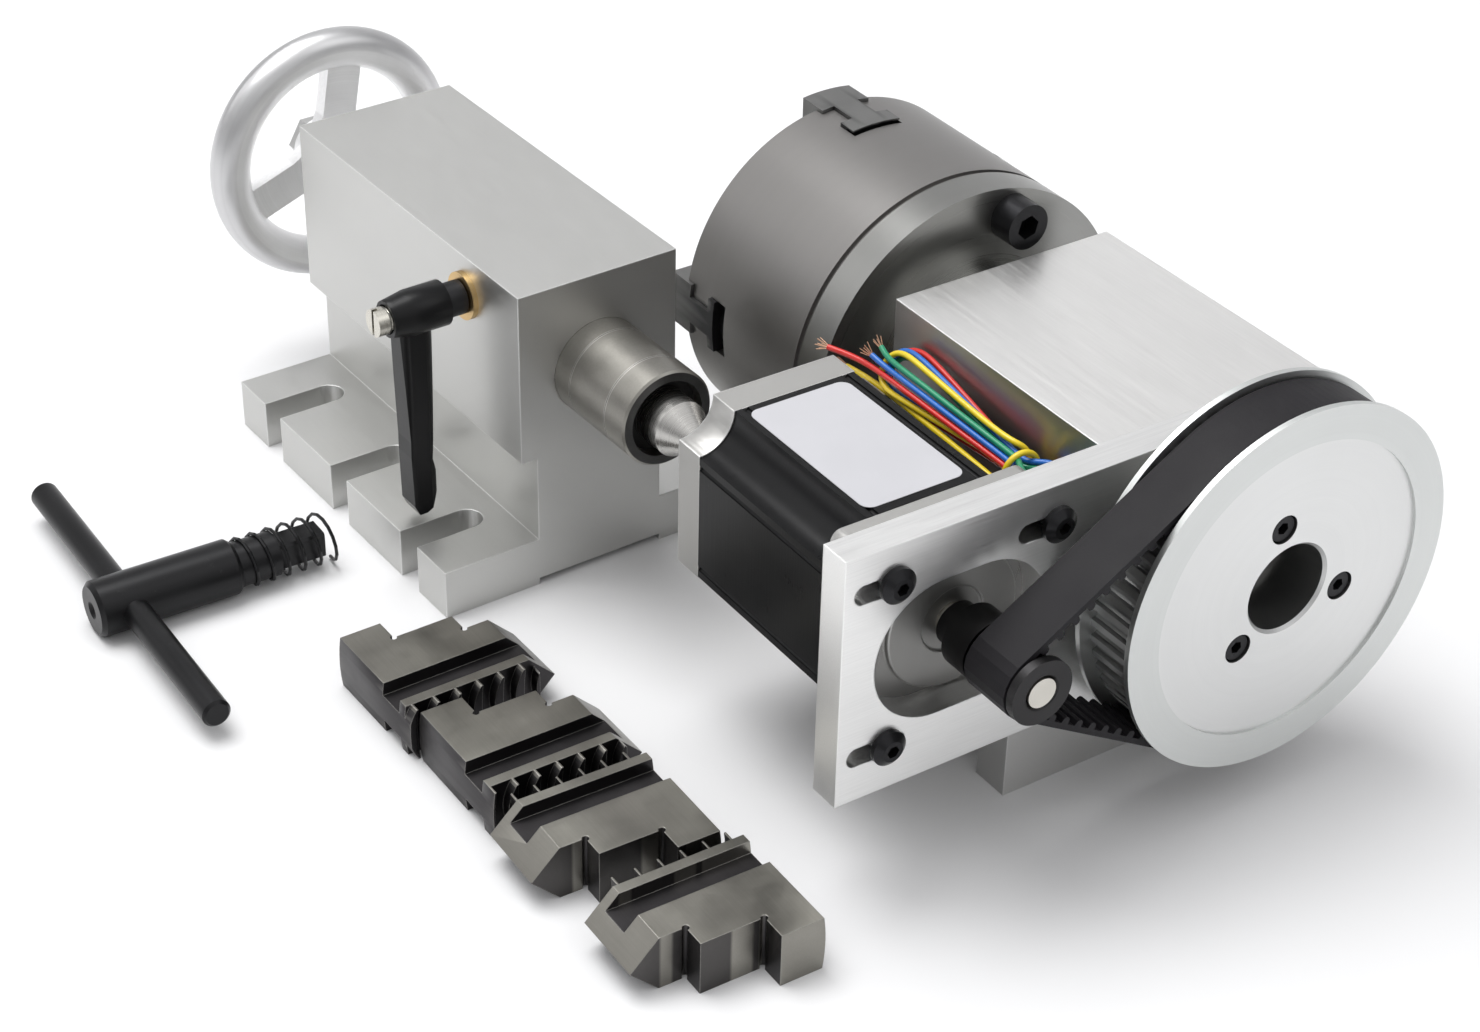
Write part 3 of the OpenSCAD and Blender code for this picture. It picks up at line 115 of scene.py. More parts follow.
LEAD_OUT = {
    "yellow": [(-46.6, 36.5, 82), (-48.5, 43, 82.5)],
    "blue": [(-46.4, 32, 88.9), (-46.8, 34.6, 89.6)],
    "green": [(-44.5, 31.8, 90.4), (-43.8, 34.6, 91)],
    "red": [(-47.4, 36, 86.8), (-49, 42.5, 86.7), (-51, 48, 86.5)],
}
# x and z of each run at the tie and at the far end: first run, second run, third run
AT_TIE = {
    "yellow": [(-43.3, 84.8), (-41.7, 87.7), (-44.2, 83.3)],
    "blue": [(-42.5, 83.4), (-40.8, 86.2), (-44.2, 86.2)],
    "green": [(-40.8, 83.3), (-41.7, 84.8), (-43.3, 87.7)],
    "red": [(-41.7, 81.9), (-40, 84.8), (-45, 84.8)],
}
AT_FAR = {
    "yellow": [(-47.2, 83.7), (-41.9, 91.9), (-46.5, 81.9)],
    "blue": [(-45.2, 83.8), (-39.9, 91.9), (-46.2, 88.5)],
    "green": [(-44.8, 81.3), (-39.3, 89.8), (-45, 90.2)],
    "red": [(-43.8, 80.3), (-36.8, 90.9), (-47.2, 86.8)],
}
# Where each near fold bulges to the right, reaches its tip and bulges to the left
NEAR_FOLD = {
    "blue": [(-37.3, -27, 87.6), (-36.9, -31.5, 88), (-38.8, -35.2, 87.8), (-42.5, -36.4, 87.2),
             (-46.2, -35.2, 86.6), (-48, -31.5, 86.4), (-47.6, -27, 86.3)],
    "green": [(-38.3, -27, 85.8), (-36.6, -32, 86.2), (-38.4, -37, 86.6), (-42.5, -38.6, 87.6),
              (-46.6, -37, 88.8), (-48, -32, 89.3), (-46.6, -27, 88.8)],
    "red": [(-37.6, -26.5, 84.6), (-36.8, -31, 84.4), (-38.8, -34.6, 84.4), (-42.5, -35.7, 84.6),
            (-46.2, -34.6, 84.6), (-48.2, -31, 84.6), (-47.4, -26.5, 84.7)],
}
# Where the yellow lead comes to the tie and leaves it
YELLOW_TO_TIE, YELLOW_FROM_TIE = (-41.8, -9, 89.5), (-47.2, -17, 81.3)
# How far a run stays straight past the tie, short of the far fold and on its way out
TIE_RUN, FOLD_RUN, OUT_RUN = 3, 6, 4
# Far folds: where their middle lies past the far end, and how much wider than a half circle they are
FOLD_PAST, FOLD_WIDE, FOLD_STEPS = 2, 1.1, 4
# The tie: middle and radius of its turns, angles in degrees, where it starts and how far it goes along
WRAP_X, WRAP_Z, WRAP_R = -42.4, 84.8, 4.8
WRAP_START, WRAP_TURN = 75, 570
WRAP_Y, WRAP_LENGTH = -19.8, 4.4
# Its points in all, those that ease in or out at each end, and those that widen towards the last
WRAP_STEPS, EASE_STEPS, WIDEN_STEPS = 20, 4, 5
EASE_IN, EASE_OUT, WIDEN = 2.4, 2.0, 0.3
# Bare strands, six round one: their size and distance apart in metres, where their rings lie, and the
# ranges from which each one's length and lean are drawn
STRANDS, STRAND_SIDES = 7, 6
STRAND_R, STRAND_OFFSET = 0.00013, 0.00034
STRAND_PLACES = (-0.0008, 0.0006, 0.0018)
STRAND_TIP = (0.0028, 0.0036)
STRAND_LEAN = (300, 900)
STRAND_FLARE = 0.4


def far_fold(start, end):
    """Half a turn at the far end of the hank, from one run to the next."""
    middle = [(a + b) / 2 for a, b in zip(start, end)]
    reach = math.dist(start, end) / 2 * FOLD_WIDE
    points = []
    for step in range(FOLD_STEPS + 1):
        angle = math.pi * step / FOLD_STEPS
        side = math.cos(angle) * FOLD_WIDE
        points.append((middle[0] + (start[0] - middle[0]) * side, FAR_Y + FOLD_PAST + reach * math.sin(angle),
                       middle[1] + (start[1] - middle[1]) * side))
    return points


def tie_wrap():
    """The yellow lead wound round all the others, which ties the hank, with an easy bend at both ends."""
    points = []
    for step in range(WRAP_STEPS + 1):
        angle = math.radians(WRAP_START - WRAP_TURN * step / WRAP_STEPS)
        reach = WRAP_R + WIDEN * max(0, step - WRAP_STEPS + WIDEN_STEPS)
        ease_in = EASE_IN * max(0, 1 - step / EASE_STEPS) ** 2
        ease_out = EASE_OUT * max(0, (step - WRAP_STEPS) / EASE_STEPS + 1) ** 2
        points.append((WRAP_X + reach * math.cos(angle),
                       WRAP_Y - WRAP_LENGTH * step / WRAP_STEPS + ease_in + ease_out,
                       WRAP_Z + reach * math.sin(angle)))
    return points


def lead_route(colour):
    tie, far = AT_TIE[colour], AT_FAR[colour]
    points = list(LEAD_IN[colour])
    points += [(tie[0][0], TIE_Y, tie[0][1]), (far[0][0], FAR_Y - FOLD_RUN, far[0][1])]
    points += far_fold(far[0], far[1])
    points.append((far[1][0], FAR_Y - FOLD_RUN, far[1][1]))
    if colour == "yellow":
        points += [YELLOW_TO_TIE] + tie_wrap() + [YELLOW_FROM_TIE]
    else:
        points += [(tie[1][0], TIE_Y + TIE_RUN, tie[1][1]), (tie[1][0], TIE_Y, tie[1][1])]
        points += NEAR_FOLD[colour]
        points += [(tie[2][0], TIE_Y, tie[2][1]), (tie[2][0], TIE_Y + TIE_RUN, tie[2][1])]
    points += [(far[2][0], FAR_Y - FOLD_RUN, far[2][1]), (far[2][0], FAR_Y + OUT_RUN, far[2][1])]
    return [Vector(p) * MM for p in points + LEAD_OUT[colour]]


def circle(count):
    """Angles evenly round a circle."""
    return [2 * math.pi * k / count for k in range(count)]


def strand_tip(name, end, direction, seed):
    """Seven fine bare strands, cut and slightly splayed."""
    rand = random.Random(seed)
    bm = bmesh.new()
    side = direction.orthogonal().normalized()
    other = direction.cross(side)
    round_one = [STRAND_OFFSET * (math.cos(a) * side + math.sin(a) * other) for a in circle(STRANDS - 1)]
    for offset in round_one + [Vector((0, 0, 0))]:
        lean = (direction + offset * rand.uniform(*STRAND_LEAN)).normalized()
        rings = []
        for step, reach in enumerate((*STRAND_PLACES, rand.uniform(*STRAND_TIP))):
            centre = end + lean * reach + offset * (1 + STRAND_FLARE * step)
            rings.append([bm.verts.new(centre + STRAND_R * (math.cos(b) * side + math.sin(b) * other))
                          for b in circle(STRAND_SIDES)])
        for low, high in zip(rings, rings[1:]):
            for i in range(STRAND_SIDES):
                j = (i + 1) % STRAND_SIDES
                bm.faces.new((low[i], low[j], high[j], high[i]))
        bm.faces.new(rings[-1])
        bm.faces.new(list(reversed(rings[0])))
    mesh = bpy.data.meshes.new(name)
    bm.to_mesh(mesh)
    bm.free()
    tip = bpy.data.objects.new(name, mesh)
    bpy.context.scene.collection.objects.link(tip)
    return tip


def lead_curve(name, route):
    """A round wire along the route."""
    curve = bpy.data.curves.new(name, "CURVE")
    curve.dimensions = "3D"
    curve.bevel_depth = LEAD_D / 2 / POINT_RADIUS
    curve.bevel_resolution, curve.resolution_u = 4, 6
    curve.use_fill_caps = True
    spline = curve.splines.new("NURBS")
    spline.points.add(len(route) - 1)
    for point, place in zip(spline.points, route):
        point.co, point.radius = (*place, 1), POINT_RADIUS
    spline.order_u, spline.use_endpoint_u = 4, True
    lead = bpy.data.objects.new(name, curve)
    bpy.context.scene.collection.objects.link(lead)
    return lead


leads, tips = {}, {}


def make_leads():
    for number, colour in enumerate(("red", "yellow", "blue", "green")):
        route = lead_route(colour)
        lead = lead_curve(f"{colour}_lead", route)
        nodes = [f"lead_{colour}"] + (["lead_hank"] if colour == "red" else [])
        tip = strand_tip(f"{colour}_strands", route[-1], (route[-1] - route[-2]).normalized(), number)
        for piece in (lead, tip):
            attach(piece, "base")
        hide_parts(*nodes)
        leads[colour], tips[colour] = lead, tip


make_leads()


class Nodes:
    """Short calls for building one material's node tree."""

    # Sockets of the colour mix node
    MIX_A, MIX_B, MIX_OUT = 6, 7, 2

    def __init__(self, name):
        self.material = bpy.data.materials.new(name)
        self.material.use_nodes = True
        self.tree = self.material.node_tree
        self.shader = self.tree.nodes["Principled BSDF"]
        self.coords = self.tree.nodes.new("ShaderNodeTexCoord").outputs["Object"]

    def link(self, a, b):
        self.tree.links.new(a, b)

    def put(self, value, socket):
        if isinstance(value, bpy.types.NodeSocket):
            self.link(value, socket)
        else:
            socket.default_value = value

    def math(self, operation, a, b=0.0):
        node = self.tree.nodes.new("ShaderNodeMath")
        node.operation = operation
        for value, socket in zip((a, b), node.inputs):
            self.put(value, socket)
        return node.outputs[0]

    def product(self, *values):
        total = values[0]
        for value in values[1:]:
            total = self.math("MULTIPLY", total, value)
        return total

    def weigh(self, *parts):
        """The sum of values, each times its weight."""
        total = self.math("MULTIPLY", *parts[0])
        for value, weight in parts[1:]:
            total = self.math("ADD", total, self.math("MULTIPLY", value, weight))
        return total

    def vector(self, operation, a, b=(0, 0, 0)):
        node = self.tree.nodes.new("ShaderNodeVectorMath")
        node.operation = operation
        self.put(a, node.inputs[0])
        self.put(b, node.inputs[1])
        return node.outputs["Value" if operation in ("LENGTH", "DOT_PRODUCT") else "Vector"]

    def scale(self, vector, factor):
        node = self.tree.nodes.new("ShaderNodeVectorMath")
        node.operation = "SCALE"
        self.put(vector, node.inputs[0])
        self.link(factor, node.inputs["Scale"])
        return node.outputs["Vector"]

    def combine(self, x, y, z):
        node = self.tree.nodes.new("ShaderNodeCombineXYZ")
        for value, socket in zip((x, y, z), node.inputs):
            self.put(value, socket)
        return node.outputs[0]

    def split(self, vector):
        node = self.tree.nodes.new("ShaderNodeSeparateXYZ")
        self.link(vector, node.inputs[0])
        return node.outputs

    def noise(self, vector, scale, detail=3.0, rough=0.55):
        node = self.tree.nodes.new("ShaderNodeTexNoise")
        self.put(vector, node.inputs["Vector"])
        node.inputs["Scale"].default_value = scale
        node.inputs["Detail"].default_value = detail
        node.inputs["Roughness"].default_value = rough
        return node.outputs["Fac"]

    def stretched_noise(self, stretch, scale, detail=3.0, rough=0.55):
        """Noise drawn out where a part of stretch is below one."""
        return self.noise(self.vector("MULTIPLY", self.coords, stretch), scale, detail, rough)

    def ramp(self, value, low, high, out_low=0.0, out_high=1.0):
        node = self.tree.nodes.new("ShaderNodeMapRange")
        self.put(value, node.inputs["Value"])
        for key, v in (("From Min", low), ("From Max", high), ("To Min", out_low), ("To Max", out_high)):
            self.put(v, node.inputs[key])
        return node.outputs[0]

    def between(self, value, low, high, blur):
        """One where the value lies between two limits, nought outside them."""
        return self.product(self.ramp(value, low - blur, low + blur),
                            self.ramp(value, high - blur, high + blur, 1.0, 0.0))

    def mix(self, factor, a, b):
        node = self.tree.nodes.new("ShaderNodeMix")
        node.data_type = "RGBA"
        self.put(factor, node.inputs[0])
        for value, socket in ((a, node.inputs[self.MIX_A]), (b, node.inputs[self.MIX_B])):
            self.put((*value, 1) if isinstance(value, tuple) and len(value) == 3 else value, socket)
        return node.outputs[self.MIX_OUT]

    def tint(self, colour, shade):
        """A colour times a factor, into the shader's base colour."""
        self.link(self.scale(colour, shade), self.shader.inputs["Base Color"])

    def bump(self, height, strength, distance, under=None):
        node = self.tree.nodes.new("ShaderNodeBump")
        node.inputs["Strength"].default_value = strength
        node.inputs["Distance"].default_value = distance
        self.link(height, node.inputs["Height"])
        if under:
            self.link(under, node.inputs["Normal"])
        self.link(node.outputs[0], self.shader.inputs["Normal"])

    def rounded(self, radius):
        """Normals of slightly rounded edges."""
        node = self.tree.nodes.new("ShaderNodeBevel")
        node.samples = 4
        node.inputs["Radius"].default_value = radius
        return node.outputs[0]

    def normal(self):
        return self.tree.nodes.new("ShaderNodeNewGeometry").outputs["True Normal"]

    def edges(self, soft, strength):
        """The strength at edges, where the rounded normal leaves the face's own, and nought elsewhere."""
        return self.ramp(self.vector("DOT_PRODUCT", soft, self.normal()), 0.90, 0.985, strength, 0.0)

    def turned(self, centre, axis):
        """A turned surface: distance from the axis, place along it and direction away from it."""
        offset = self.vector("SUBTRACT", self.coords, centre)
        along = self.vector("DOT_PRODUCT", offset, axis)
        radial = self.vector("SUBTRACT", offset, self.scale(axis, along))
        return self.vector("LENGTH", radial), along, radial


# Depth of the brush lines and turning rings, and of a coating's grain
LINE_DEPTH, GRAIN_DEPTH = 0.0001, 0.00008
# How far lines and rings change the roughness of metal
ROUGH_SPREAD = 0.05


def brushed(name, colour, rough, along, grain=3000, bump=0.05, patches=0.03, left=1.0, front=1.0,
            upright=1.0):
    """Metal with straight brush lines along one direction and a painted highlight along its edges.

    Painted shade: the tone is scaled by left on faces towards -X, by front on faces towards -Y and by
    upright on all upright faces.
    """
    n = Nodes(name)
    facing = n.split(n.normal())
    soft = n.rounded(0.0005)
    # Painted highlight: the mask of the rounded edges
    edge = n.edges(soft, 0.75)
    # Painted shade: faces towards -X, towards -Y and upright faces darkened by left, front and upright
    sides = n.product(n.ramp(facing[0], -0.95, -0.85, left, 1.0),
                      n.ramp(facing[1], -0.95, -0.85, front, 1.0),
                      n.ramp(n.math("ABSOLUTE", facing[2]), 0.1, 0.6, upright, 1.0))
    lines = n.stretched_noise(tuple(0.02 if v else 1.0 for v in along), grain, 3, 0.6)
    cloud = n.stretched_noise(tuple(0.4 if v else 1.0 for v in along), 40, 2)
    shade = n.ramp(n.weigh((lines, 0.6), (cloud, 0.4)), 0.35, 0.65, 1 - patches, 1 + patches)
    patches_and_painted_shade = n.product(shade, sides)
    # Painted highlight: the edges' tone raised towards one and their colour mixed towards near white
    painted_edge_lift = n.product(edge, n.math("SUBTRACT", 1.0, patches_and_painted_shade))
    n.tint(n.mix(edge, colour, (0.96, 0.96, 0.95)), n.math("ADD", patches_and_painted_shade, painted_edge_lift))
    n.link(n.ramp(lines, 0.3, 0.7, rough - ROUGH_SPREAD, rough + ROUGH_SPREAD), n.shader.inputs["Roughness"])
    n.shader.inputs["Metallic"].default_value = 1.0
    n.bump(lines, bump, LINE_DEPTH, soft)
    return n.material


def lathe(name, colour, rough, centre, axis, rings=3200, bump=0.05, aniso=0.45, rim=1.0):
    """Turned metal: fine rings about an axis, a stretched highlight and painted shade on faces round the rim.
    """
    n = Nodes(name)
    radius, along, radial = n.turned(centre, axis)
    lines = n.noise(n.combine(radius, along, 0.0), rings, 3, 0.6)
    broad = n.noise(n.combine(radius, along, 0.0), 260, 2)
    cloud = n.noise(n.coords, 40, 2)
    shade = n.ramp(n.weigh((lines, 0.5), (broad, 0.3), (cloud, 0.2)), 0.35, 0.65, 0.97, 1.03)
    facing = n.math("ABSOLUTE", n.vector("DOT_PRODUCT", n.normal(), axis))
    # Painted shade: faces round the rim, square to the axis, scaled by rim
    n.tint(colour, n.product(shade, n.ramp(facing, 0.5, 0.9, rim, 1.0)))
    n.link(n.ramp(lines, 0.3, 0.7, rough - ROUGH_SPREAD, rough + ROUGH_SPREAD), n.shader.inputs["Roughness"])
    n.shader.inputs["Metallic"].default_value = 1.0
    n.shader.inputs["Anisotropic"].default_value = aniso
    n.link(n.vector("CROSS_PRODUCT", radial, axis), n.shader.inputs["Tangent"])
    n.bump(lines, bump, LINE_DEPTH)
    return n.material


def coated(name, colour, rough, metal=0.0, grain=1500, bump=0.1, spec=0.5, coat=0.0, spots=0.12,
           stretch=(1, 1, 1), worn=None):
    """Paint, black oxide, moulded plastic or rubber with a fine grain and faint patches."""
    n = Nodes(name)
    grainy = n.stretched_noise(stretch, grain, 3)
    cloud = n.noise(n.coords, 60, 4)
    if worn:
        rubbed = n.ramp(n.noise(n.coords, 190, 6, 0.75), 0.60, 0.72)
        colour = n.mix(rubbed, colour, worn)
    n.tint(colour, n.ramp(cloud, 0.3, 0.7, 1 - spots, 1 + spots))
    uneven = n.weigh((grainy, 0.4), (cloud, 1.0))
    n.link(n.ramp(uneven, 0.4, 1.0, rough * 0.85, rough * 1.15), n.shader.inputs["Roughness"])
    n.shader.inputs["Metallic"].default_value = metal
    n.shader.inputs["Specular IOR Level"].default_value = spec
    n.shader.inputs["Coat Weight"].default_value = coat
    n.bump(grainy, bump, GRAIN_DEPTH)
    return n.material


# Loose jaws: height of their ground sides, the place that the treads in view lie in front of, the heel,
# and the bright bands on the treads, measured from the heel
JAW_TOP_Z, JAW_TREAD_Y, JAW_HEEL_X = 0.0150, -0.0125, -0.1757
JAW_BANDS, JAW_LAST_BAND, BAND_BLUR = ((0.0245, 0.0305), (0.0092, 0.0125)), 0.0320, 0.0004


def spare_jaw_metal():
    """Outside jaws: ground sides, nose facets and bands on the steps; black oxide in grooves and on teeth."""
    n = Nodes("spare_jaw_metal")
    facing = n.split(n.normal())
    place = n.split(n.coords)
    side = n.product(n.ramp(facing[2], 0.85, 0.90), n.ramp(place[2], JAW_TOP_Z - 0.0002, JAW_TOP_Z))
    facet = n.between(facing[2], 0.55, 0.80, 0.02)
    from_heel = n.math("ADD", place[0], -JAW_HEEL_X)
    bands = n.ramp(from_heel, JAW_LAST_BAND, JAW_LAST_BAND + 0.0005)
    for low, high in JAW_BANDS:
        bands = n.math("ADD", bands, n.between(from_heel, low, high, BAND_BLUR))
    tread = n.product(n.ramp(facing[1], -0.97, -0.95, 1.0, 0.0),
                      n.ramp(place[1], JAW_TREAD_Y, JAW_TREAD_Y + 0.0005, 1.0, 0.0),
                      n.math("ADD", n.product(bands, 0.8), 0.12))
    bare = n.math("MAXIMUM", n.math("MAXIMUM", side, n.product(facet, 0.8)), tread)
    lines = n.stretched_noise((1, 0.03, 1), 2600, 3, 0.6)
    cloud = n.noise(n.coords, 70, 4)
    broad = n.ramp(n.stretched_noise((1, 0.4, 1), 22, 2), 0.38, 0.62)
    soft = n.rounded(0.0003)
    ground = n.mix(broad, (0.215, 0.205, 0.185), (0.34, 0.33, 0.295))
    oxide_or_ground = n.mix(bare, (0.058, 0.055, 0.057), ground)
    n.tint(n.mix(n.edges(soft, 0.5), oxide_or_ground, (0.50, 0.49, 0.46)),
           n.ramp(n.weigh((lines, 0.3), (cloud, 0.7)), 0.3, 0.7, 0.88, 1.12))
    n.link(n.math("ADD", n.ramp(cloud, 0.3, 0.7, 0.28, 0.38), n.ramp(bare, 0.0, 1.0, 0.08, 0.0)),
           n.shader.inputs["Roughness"])
    n.shader.inputs["Metallic"].default_value = 1.0
    n.bump(lines, 0.05, LINE_DEPTH, soft)
    return n.material


def mounted_jaw_metal():
    """Black oxide jaws with rubbed edges."""
    n = Nodes("mounted_jaw_metal")
    cloud = n.noise(n.coords, 90, 4)
    fine = n.noise(n.coords, 1800, 3)
    pointed = n.tree.nodes.new("ShaderNodeNewGeometry").outputs["Pointiness"]
    rubbed = n.product(n.ramp(pointed, 0.56, 0.62), 0.5)
    n.tint(n.mix(rubbed, (0.040, 0.040, 0.042), (0.34, 0.34, 0.33)), n.ramp(cloud, 0.3, 0.7, 0.88, 1.12))
    n.link(n.ramp(cloud, 0.3, 0.7, 0.32, 0.42), n.shader.inputs["Roughness"])
    n.shader.inputs["Metallic"].default_value = 0.85
    n.bump(fine, 0.1, GRAIN_DEPTH)
    return n.material


# The quill's front face along the tailstock's axis, and how far its two scribed rings lie behind it
QUILL_NOSE, QUILL_RINGS, SCRIBE_W = -0.0333, (0.0088, 0.0258), 0.0007


def quill_metal():
    """Ground quill: warm matt steel, bright scribed rings and a dark front face."""
    n = Nodes("quill_metal")
    radius, along, _ = n.turned(TAIL, TAIL_AXIS)
    lines = n.noise(n.combine(radius, along, 0.0), 2600, 3, 0.6)
    grain = n.noise(n.coords, 1500, 3)
    cloud = n.noise(n.coords, 120, 4)
    places = (QUILL_NOSE + back for back in QUILL_RINGS)
    rings = n.math("ADD", *(n.between(along, place, place + SCRIBE_W, 0.0001) for place in places))
    front = n.ramp(n.vector("DOT_PRODUCT", n.normal(), TAIL_AXIS), -0.95, -0.9, 1.0, 0.0)
    ringed = n.mix(rings, (0.30, 0.29, 0.265), (0.62, 0.60, 0.57))
    n.tint(n.mix(front, ringed, (0.14, 0.14, 0.14)),
           n.ramp(n.weigh((grain, 0.5), (cloud, 0.5)), 0.3, 0.7, 0.92, 1.08))
    n.link(n.ramp(cloud, 0.3, 0.7, 0.34, 0.42), n.shader.inputs["Roughness"])
    n.shader.inputs["Metallic"].default_value = 1.0
    n.bump(n.math("ADD", lines, grain), 0.08, LINE_DEPTH)
    return n.material


WHEEL_RIM_R = 0.0355


def wheel_metal():
    """Cast aluminium wheel: rim polished round its section, spokes left as cast."""
    n = Nodes("wheel_metal")
    radius, along, _ = n.turned(TAIL, TAIL_AXIS)
    rim = n.ramp(radius, WHEEL_RIM_R - 0.001, WHEEL_RIM_R + 0.001)
    streaks = n.noise(n.combine(n.product(radius, 3.0), n.product(along, 3.0), 0.0), 260, 3, 0.6)
    cast = n.noise(n.coords, 1300, 3)
    cloud = n.noise(n.coords, 55, 4)
    shade = n.ramp(n.weigh((streaks, 0.5), (cloud, 0.5)), 0.35, 0.65, 0.93, 1.05)
    n.tint(n.mix(rim, (0.92, 0.92, 0.92), (0.62, 0.62, 0.625)), shade)
    n.link(n.math("ADD", n.ramp(rim, 0.0, 1.0, 0.50, 0.37), n.ramp(cloud, 0.3, 0.7, -0.03, 0.03)),
           n.shader.inputs["Roughness"])
    n.shader.inputs["Metallic"].default_value = 1.0
    n.bump(n.mix(rim, n.combine(cast, cast, cast), n.combine(streaks, streaks, streaks)), 0.10, LINE_DEPTH)
    return n.material


def paint(material, *names):
    for name in names:
        data = NODES[name].data
        data.materials.clear()
        data.materials.append(material)


def paint_headstock():
    # Painted shade: the block's faces towards -X at 0.70 and its upright faces at 0.74 of the top's tone;
    # painted highlight on its edges
    paint(brushed("block_metal", (0.92, 0.915, 0.90), rough=0.38, along=Y, left=0.70, upright=0.74),
          "headstock_block")
    # Painted shade: the plate's front face at 0.92 of its tone; painted highlight on its edges
    paint(brushed("plate_metal", (0.94, 0.94, 0.93), rough=0.36, along=X, bump=0.08, patches=0.05,
                  front=0.92), "motor_plate")
    paint(lathe("spindle_steel", (0.5, 0.5, 0.48), 0.28, SPINDLE, Y),
          "spindle", "spindle_bearing_inners", "spindle_bearing_outers", "spindle_nut")


def paint_drive():
    # Painted shade: the pulley's rim and teeth, under the belt, at 0.45 of its tone
    paint(lathe("pulley_metal", (0.76, 0.765, 0.76), 0.42, SPINDLE, Y, aniso=0.25, rim=0.45), "large_pulley")
    paint(lathe("ring_metal", (0.68, 0.695, 0.685), 0.40, SPINDLE, Y, aniso=0.25), "pulley_flanges")
    paint(coated("belt_rubber", (0.011, 0.010, 0.012), 0.58, grain=2200, bump=0.15, spec=0.25), "timing_belt")
    paint(lathe("small_pulley_metal", (0.040, 0.039, 0.040), 0.38, MOTOR, Y), "small_pulley")
    paint(lathe("shaft_steel", (0.62, 0.60, 0.55), 0.34, MOTOR, Y), "motor_shaft")


def paint_motor():
    # Painted shade: their faces towards -Y at 0.6 of the tone, as shade in the plate's window; painted
    # highlight on their edges
    paint(brushed("motor_cap_metal", (0.50, 0.495, 0.48), rough=0.46, along=Z, grain=1100, bump=0.10,
                  front=0.6), "motor_flange", "motor_rear_cap")
    paint(coated("motor_black", (0.003, 0.003, 0.0035), 0.30, grain=1900, bump=0.25, spec=0.22,
                 stretch=(0.02, 1, 0.02)), "motor_stator")
    paint(coated("label_white", (0.50, 0.50, 0.525), 0.42, grain=600, bump=0.03, spots=0.02), "motor_label")
    paint(coated("case_zinc", (0.5, 0.5, 0.49), 0.34, metal=1.0, grain=2600), "motor_case_screws")


def paint_chuck():
    paint(lathe("chuck_steel", (0.265, 0.257, 0.25), 0.40, SPINDLE, Y, rings=3600, aniso=0.4),
          "chuck_body", "chuck_cover")
    paint(lathe("back_plate_steel", (0.30, 0.30, 0.29), 0.32, SPINDLE, Y, bump=0.03, aniso=0.35),
          "chuck_back_plate")
    paint(lathe("scroll_steel", (0.4, 0.4, 0.4), 0.35, SPINDLE, Y),
          "scroll", "pinion_1", "pinion_2", "pinion_pins")
    paint(mounted_jaw_metal(), "jaw_1", "jaw_2", "jaw_3", "jaw_4")


def paint_tailstock():
    # The tailstock body's edges get a painted highlight from brushed
    paint(brushed("tail_metal", (0.58, 0.58, 0.565), rough=0.42, along=Y, bump=0.03), "tailstock_body")
    paint(quill_metal(), "quill")
    paint(wheel_metal(), "handwheel")
    paint(lathe("screw_steel", (0.56, 0.55, 0.53), 0.28, TAIL, TAIL_AXIS), "lead_screw")
    paint(lathe("centre_steel", (0.52, 0.51, 0.49), 0.26, TAIL, TAIL_AXIS), "live_centre")
    paint(lathe("cap_metal", (0.62, 0.62, 0.61), 0.34, TAIL, TAIL_AXIS), "tail_end_cap", "handwheel_nut")
    paint(lathe("brass", (0.62, 0.43, 0.20), 0.32, CLAMP, LEVER_AXIS), "clamp_bush")
    paint(coated("lever_black", (0.003, 0.003, 0.0035), 0.32, grain=1600, bump=0.12, spec=0.25),
          "lever_handle")
    paint(coated("stud_black", (0.02, 0.02, 0.022), 0.40, metal=0.6, grain=2000), "clamp_stud")
    paint(lathe("zinc", (0.62, 0.60, 0.54), 0.28, CLAMP, LEVER_AXIS), "lever_screw", "lever_spring")


def paint_loose_pieces():
    paint(spare_jaw_metal(), "spare_jaws_a", "spare_jaws_b")
    paint(coated("key_black", (0.012, 0.012, 0.013), 0.36, metal=0.6, grain=1200, bump=0.2,
                 worn=(0.03, 0.03, 0.03)), "key_body", "key_bar", "key_spring")


def paint_shared():
    """Black screws, and dark seals and bearing parts, in all the groups."""
    paint(coated("screw_black", (0.022, 0.022, 0.024), 0.34, metal=0.8, grain=2600),
          "plate_screws", "pulley_screws", "motor_mount_screws", "chuck_mount_screws", "back_plate_screws",
          "tail_cap_screws", "quill_key_screw", "pulley_set_screw")
    paint(coated("bearing_dark", (0.02, 0.02, 0.02), 0.4, metal=0.5),
          "centre_bearing", "front_seal", "lead_grommet")


def paint_leads():
    wires = {"red": (0.60, 0.02, 0.015), "yellow": (0.80, 0.60, 0.02),
             "blue": (0.012, 0.13, 0.50), "green": (0.01, 0.26, 0.13)}
    for colour, rgb in wires.items():
        material = coated(f"wire_{colour}", rgb, 0.30, grain=900, bump=0.04, coat=0.2, spots=0.06)
        paint(material, f"lead_{colour}")
        leads[colour].data.materials.append(material)
    paint(coated("hank_mix", (0.5, 0.35, 0.05), 0.3), "lead_hank")
    copper = coated("bare_strands", (0.60, 0.36, 0.24), 0.30, metal=1.0, grain=3000, bump=0.05)
    for tip in tips.values():
        tip.data.materials.append(copper)


paint_headstock()
paint_drive()
paint_motor()
paint_chuck()
paint_tailstock()
paint_loose_pieces()
paint_shared()
paint_leads()


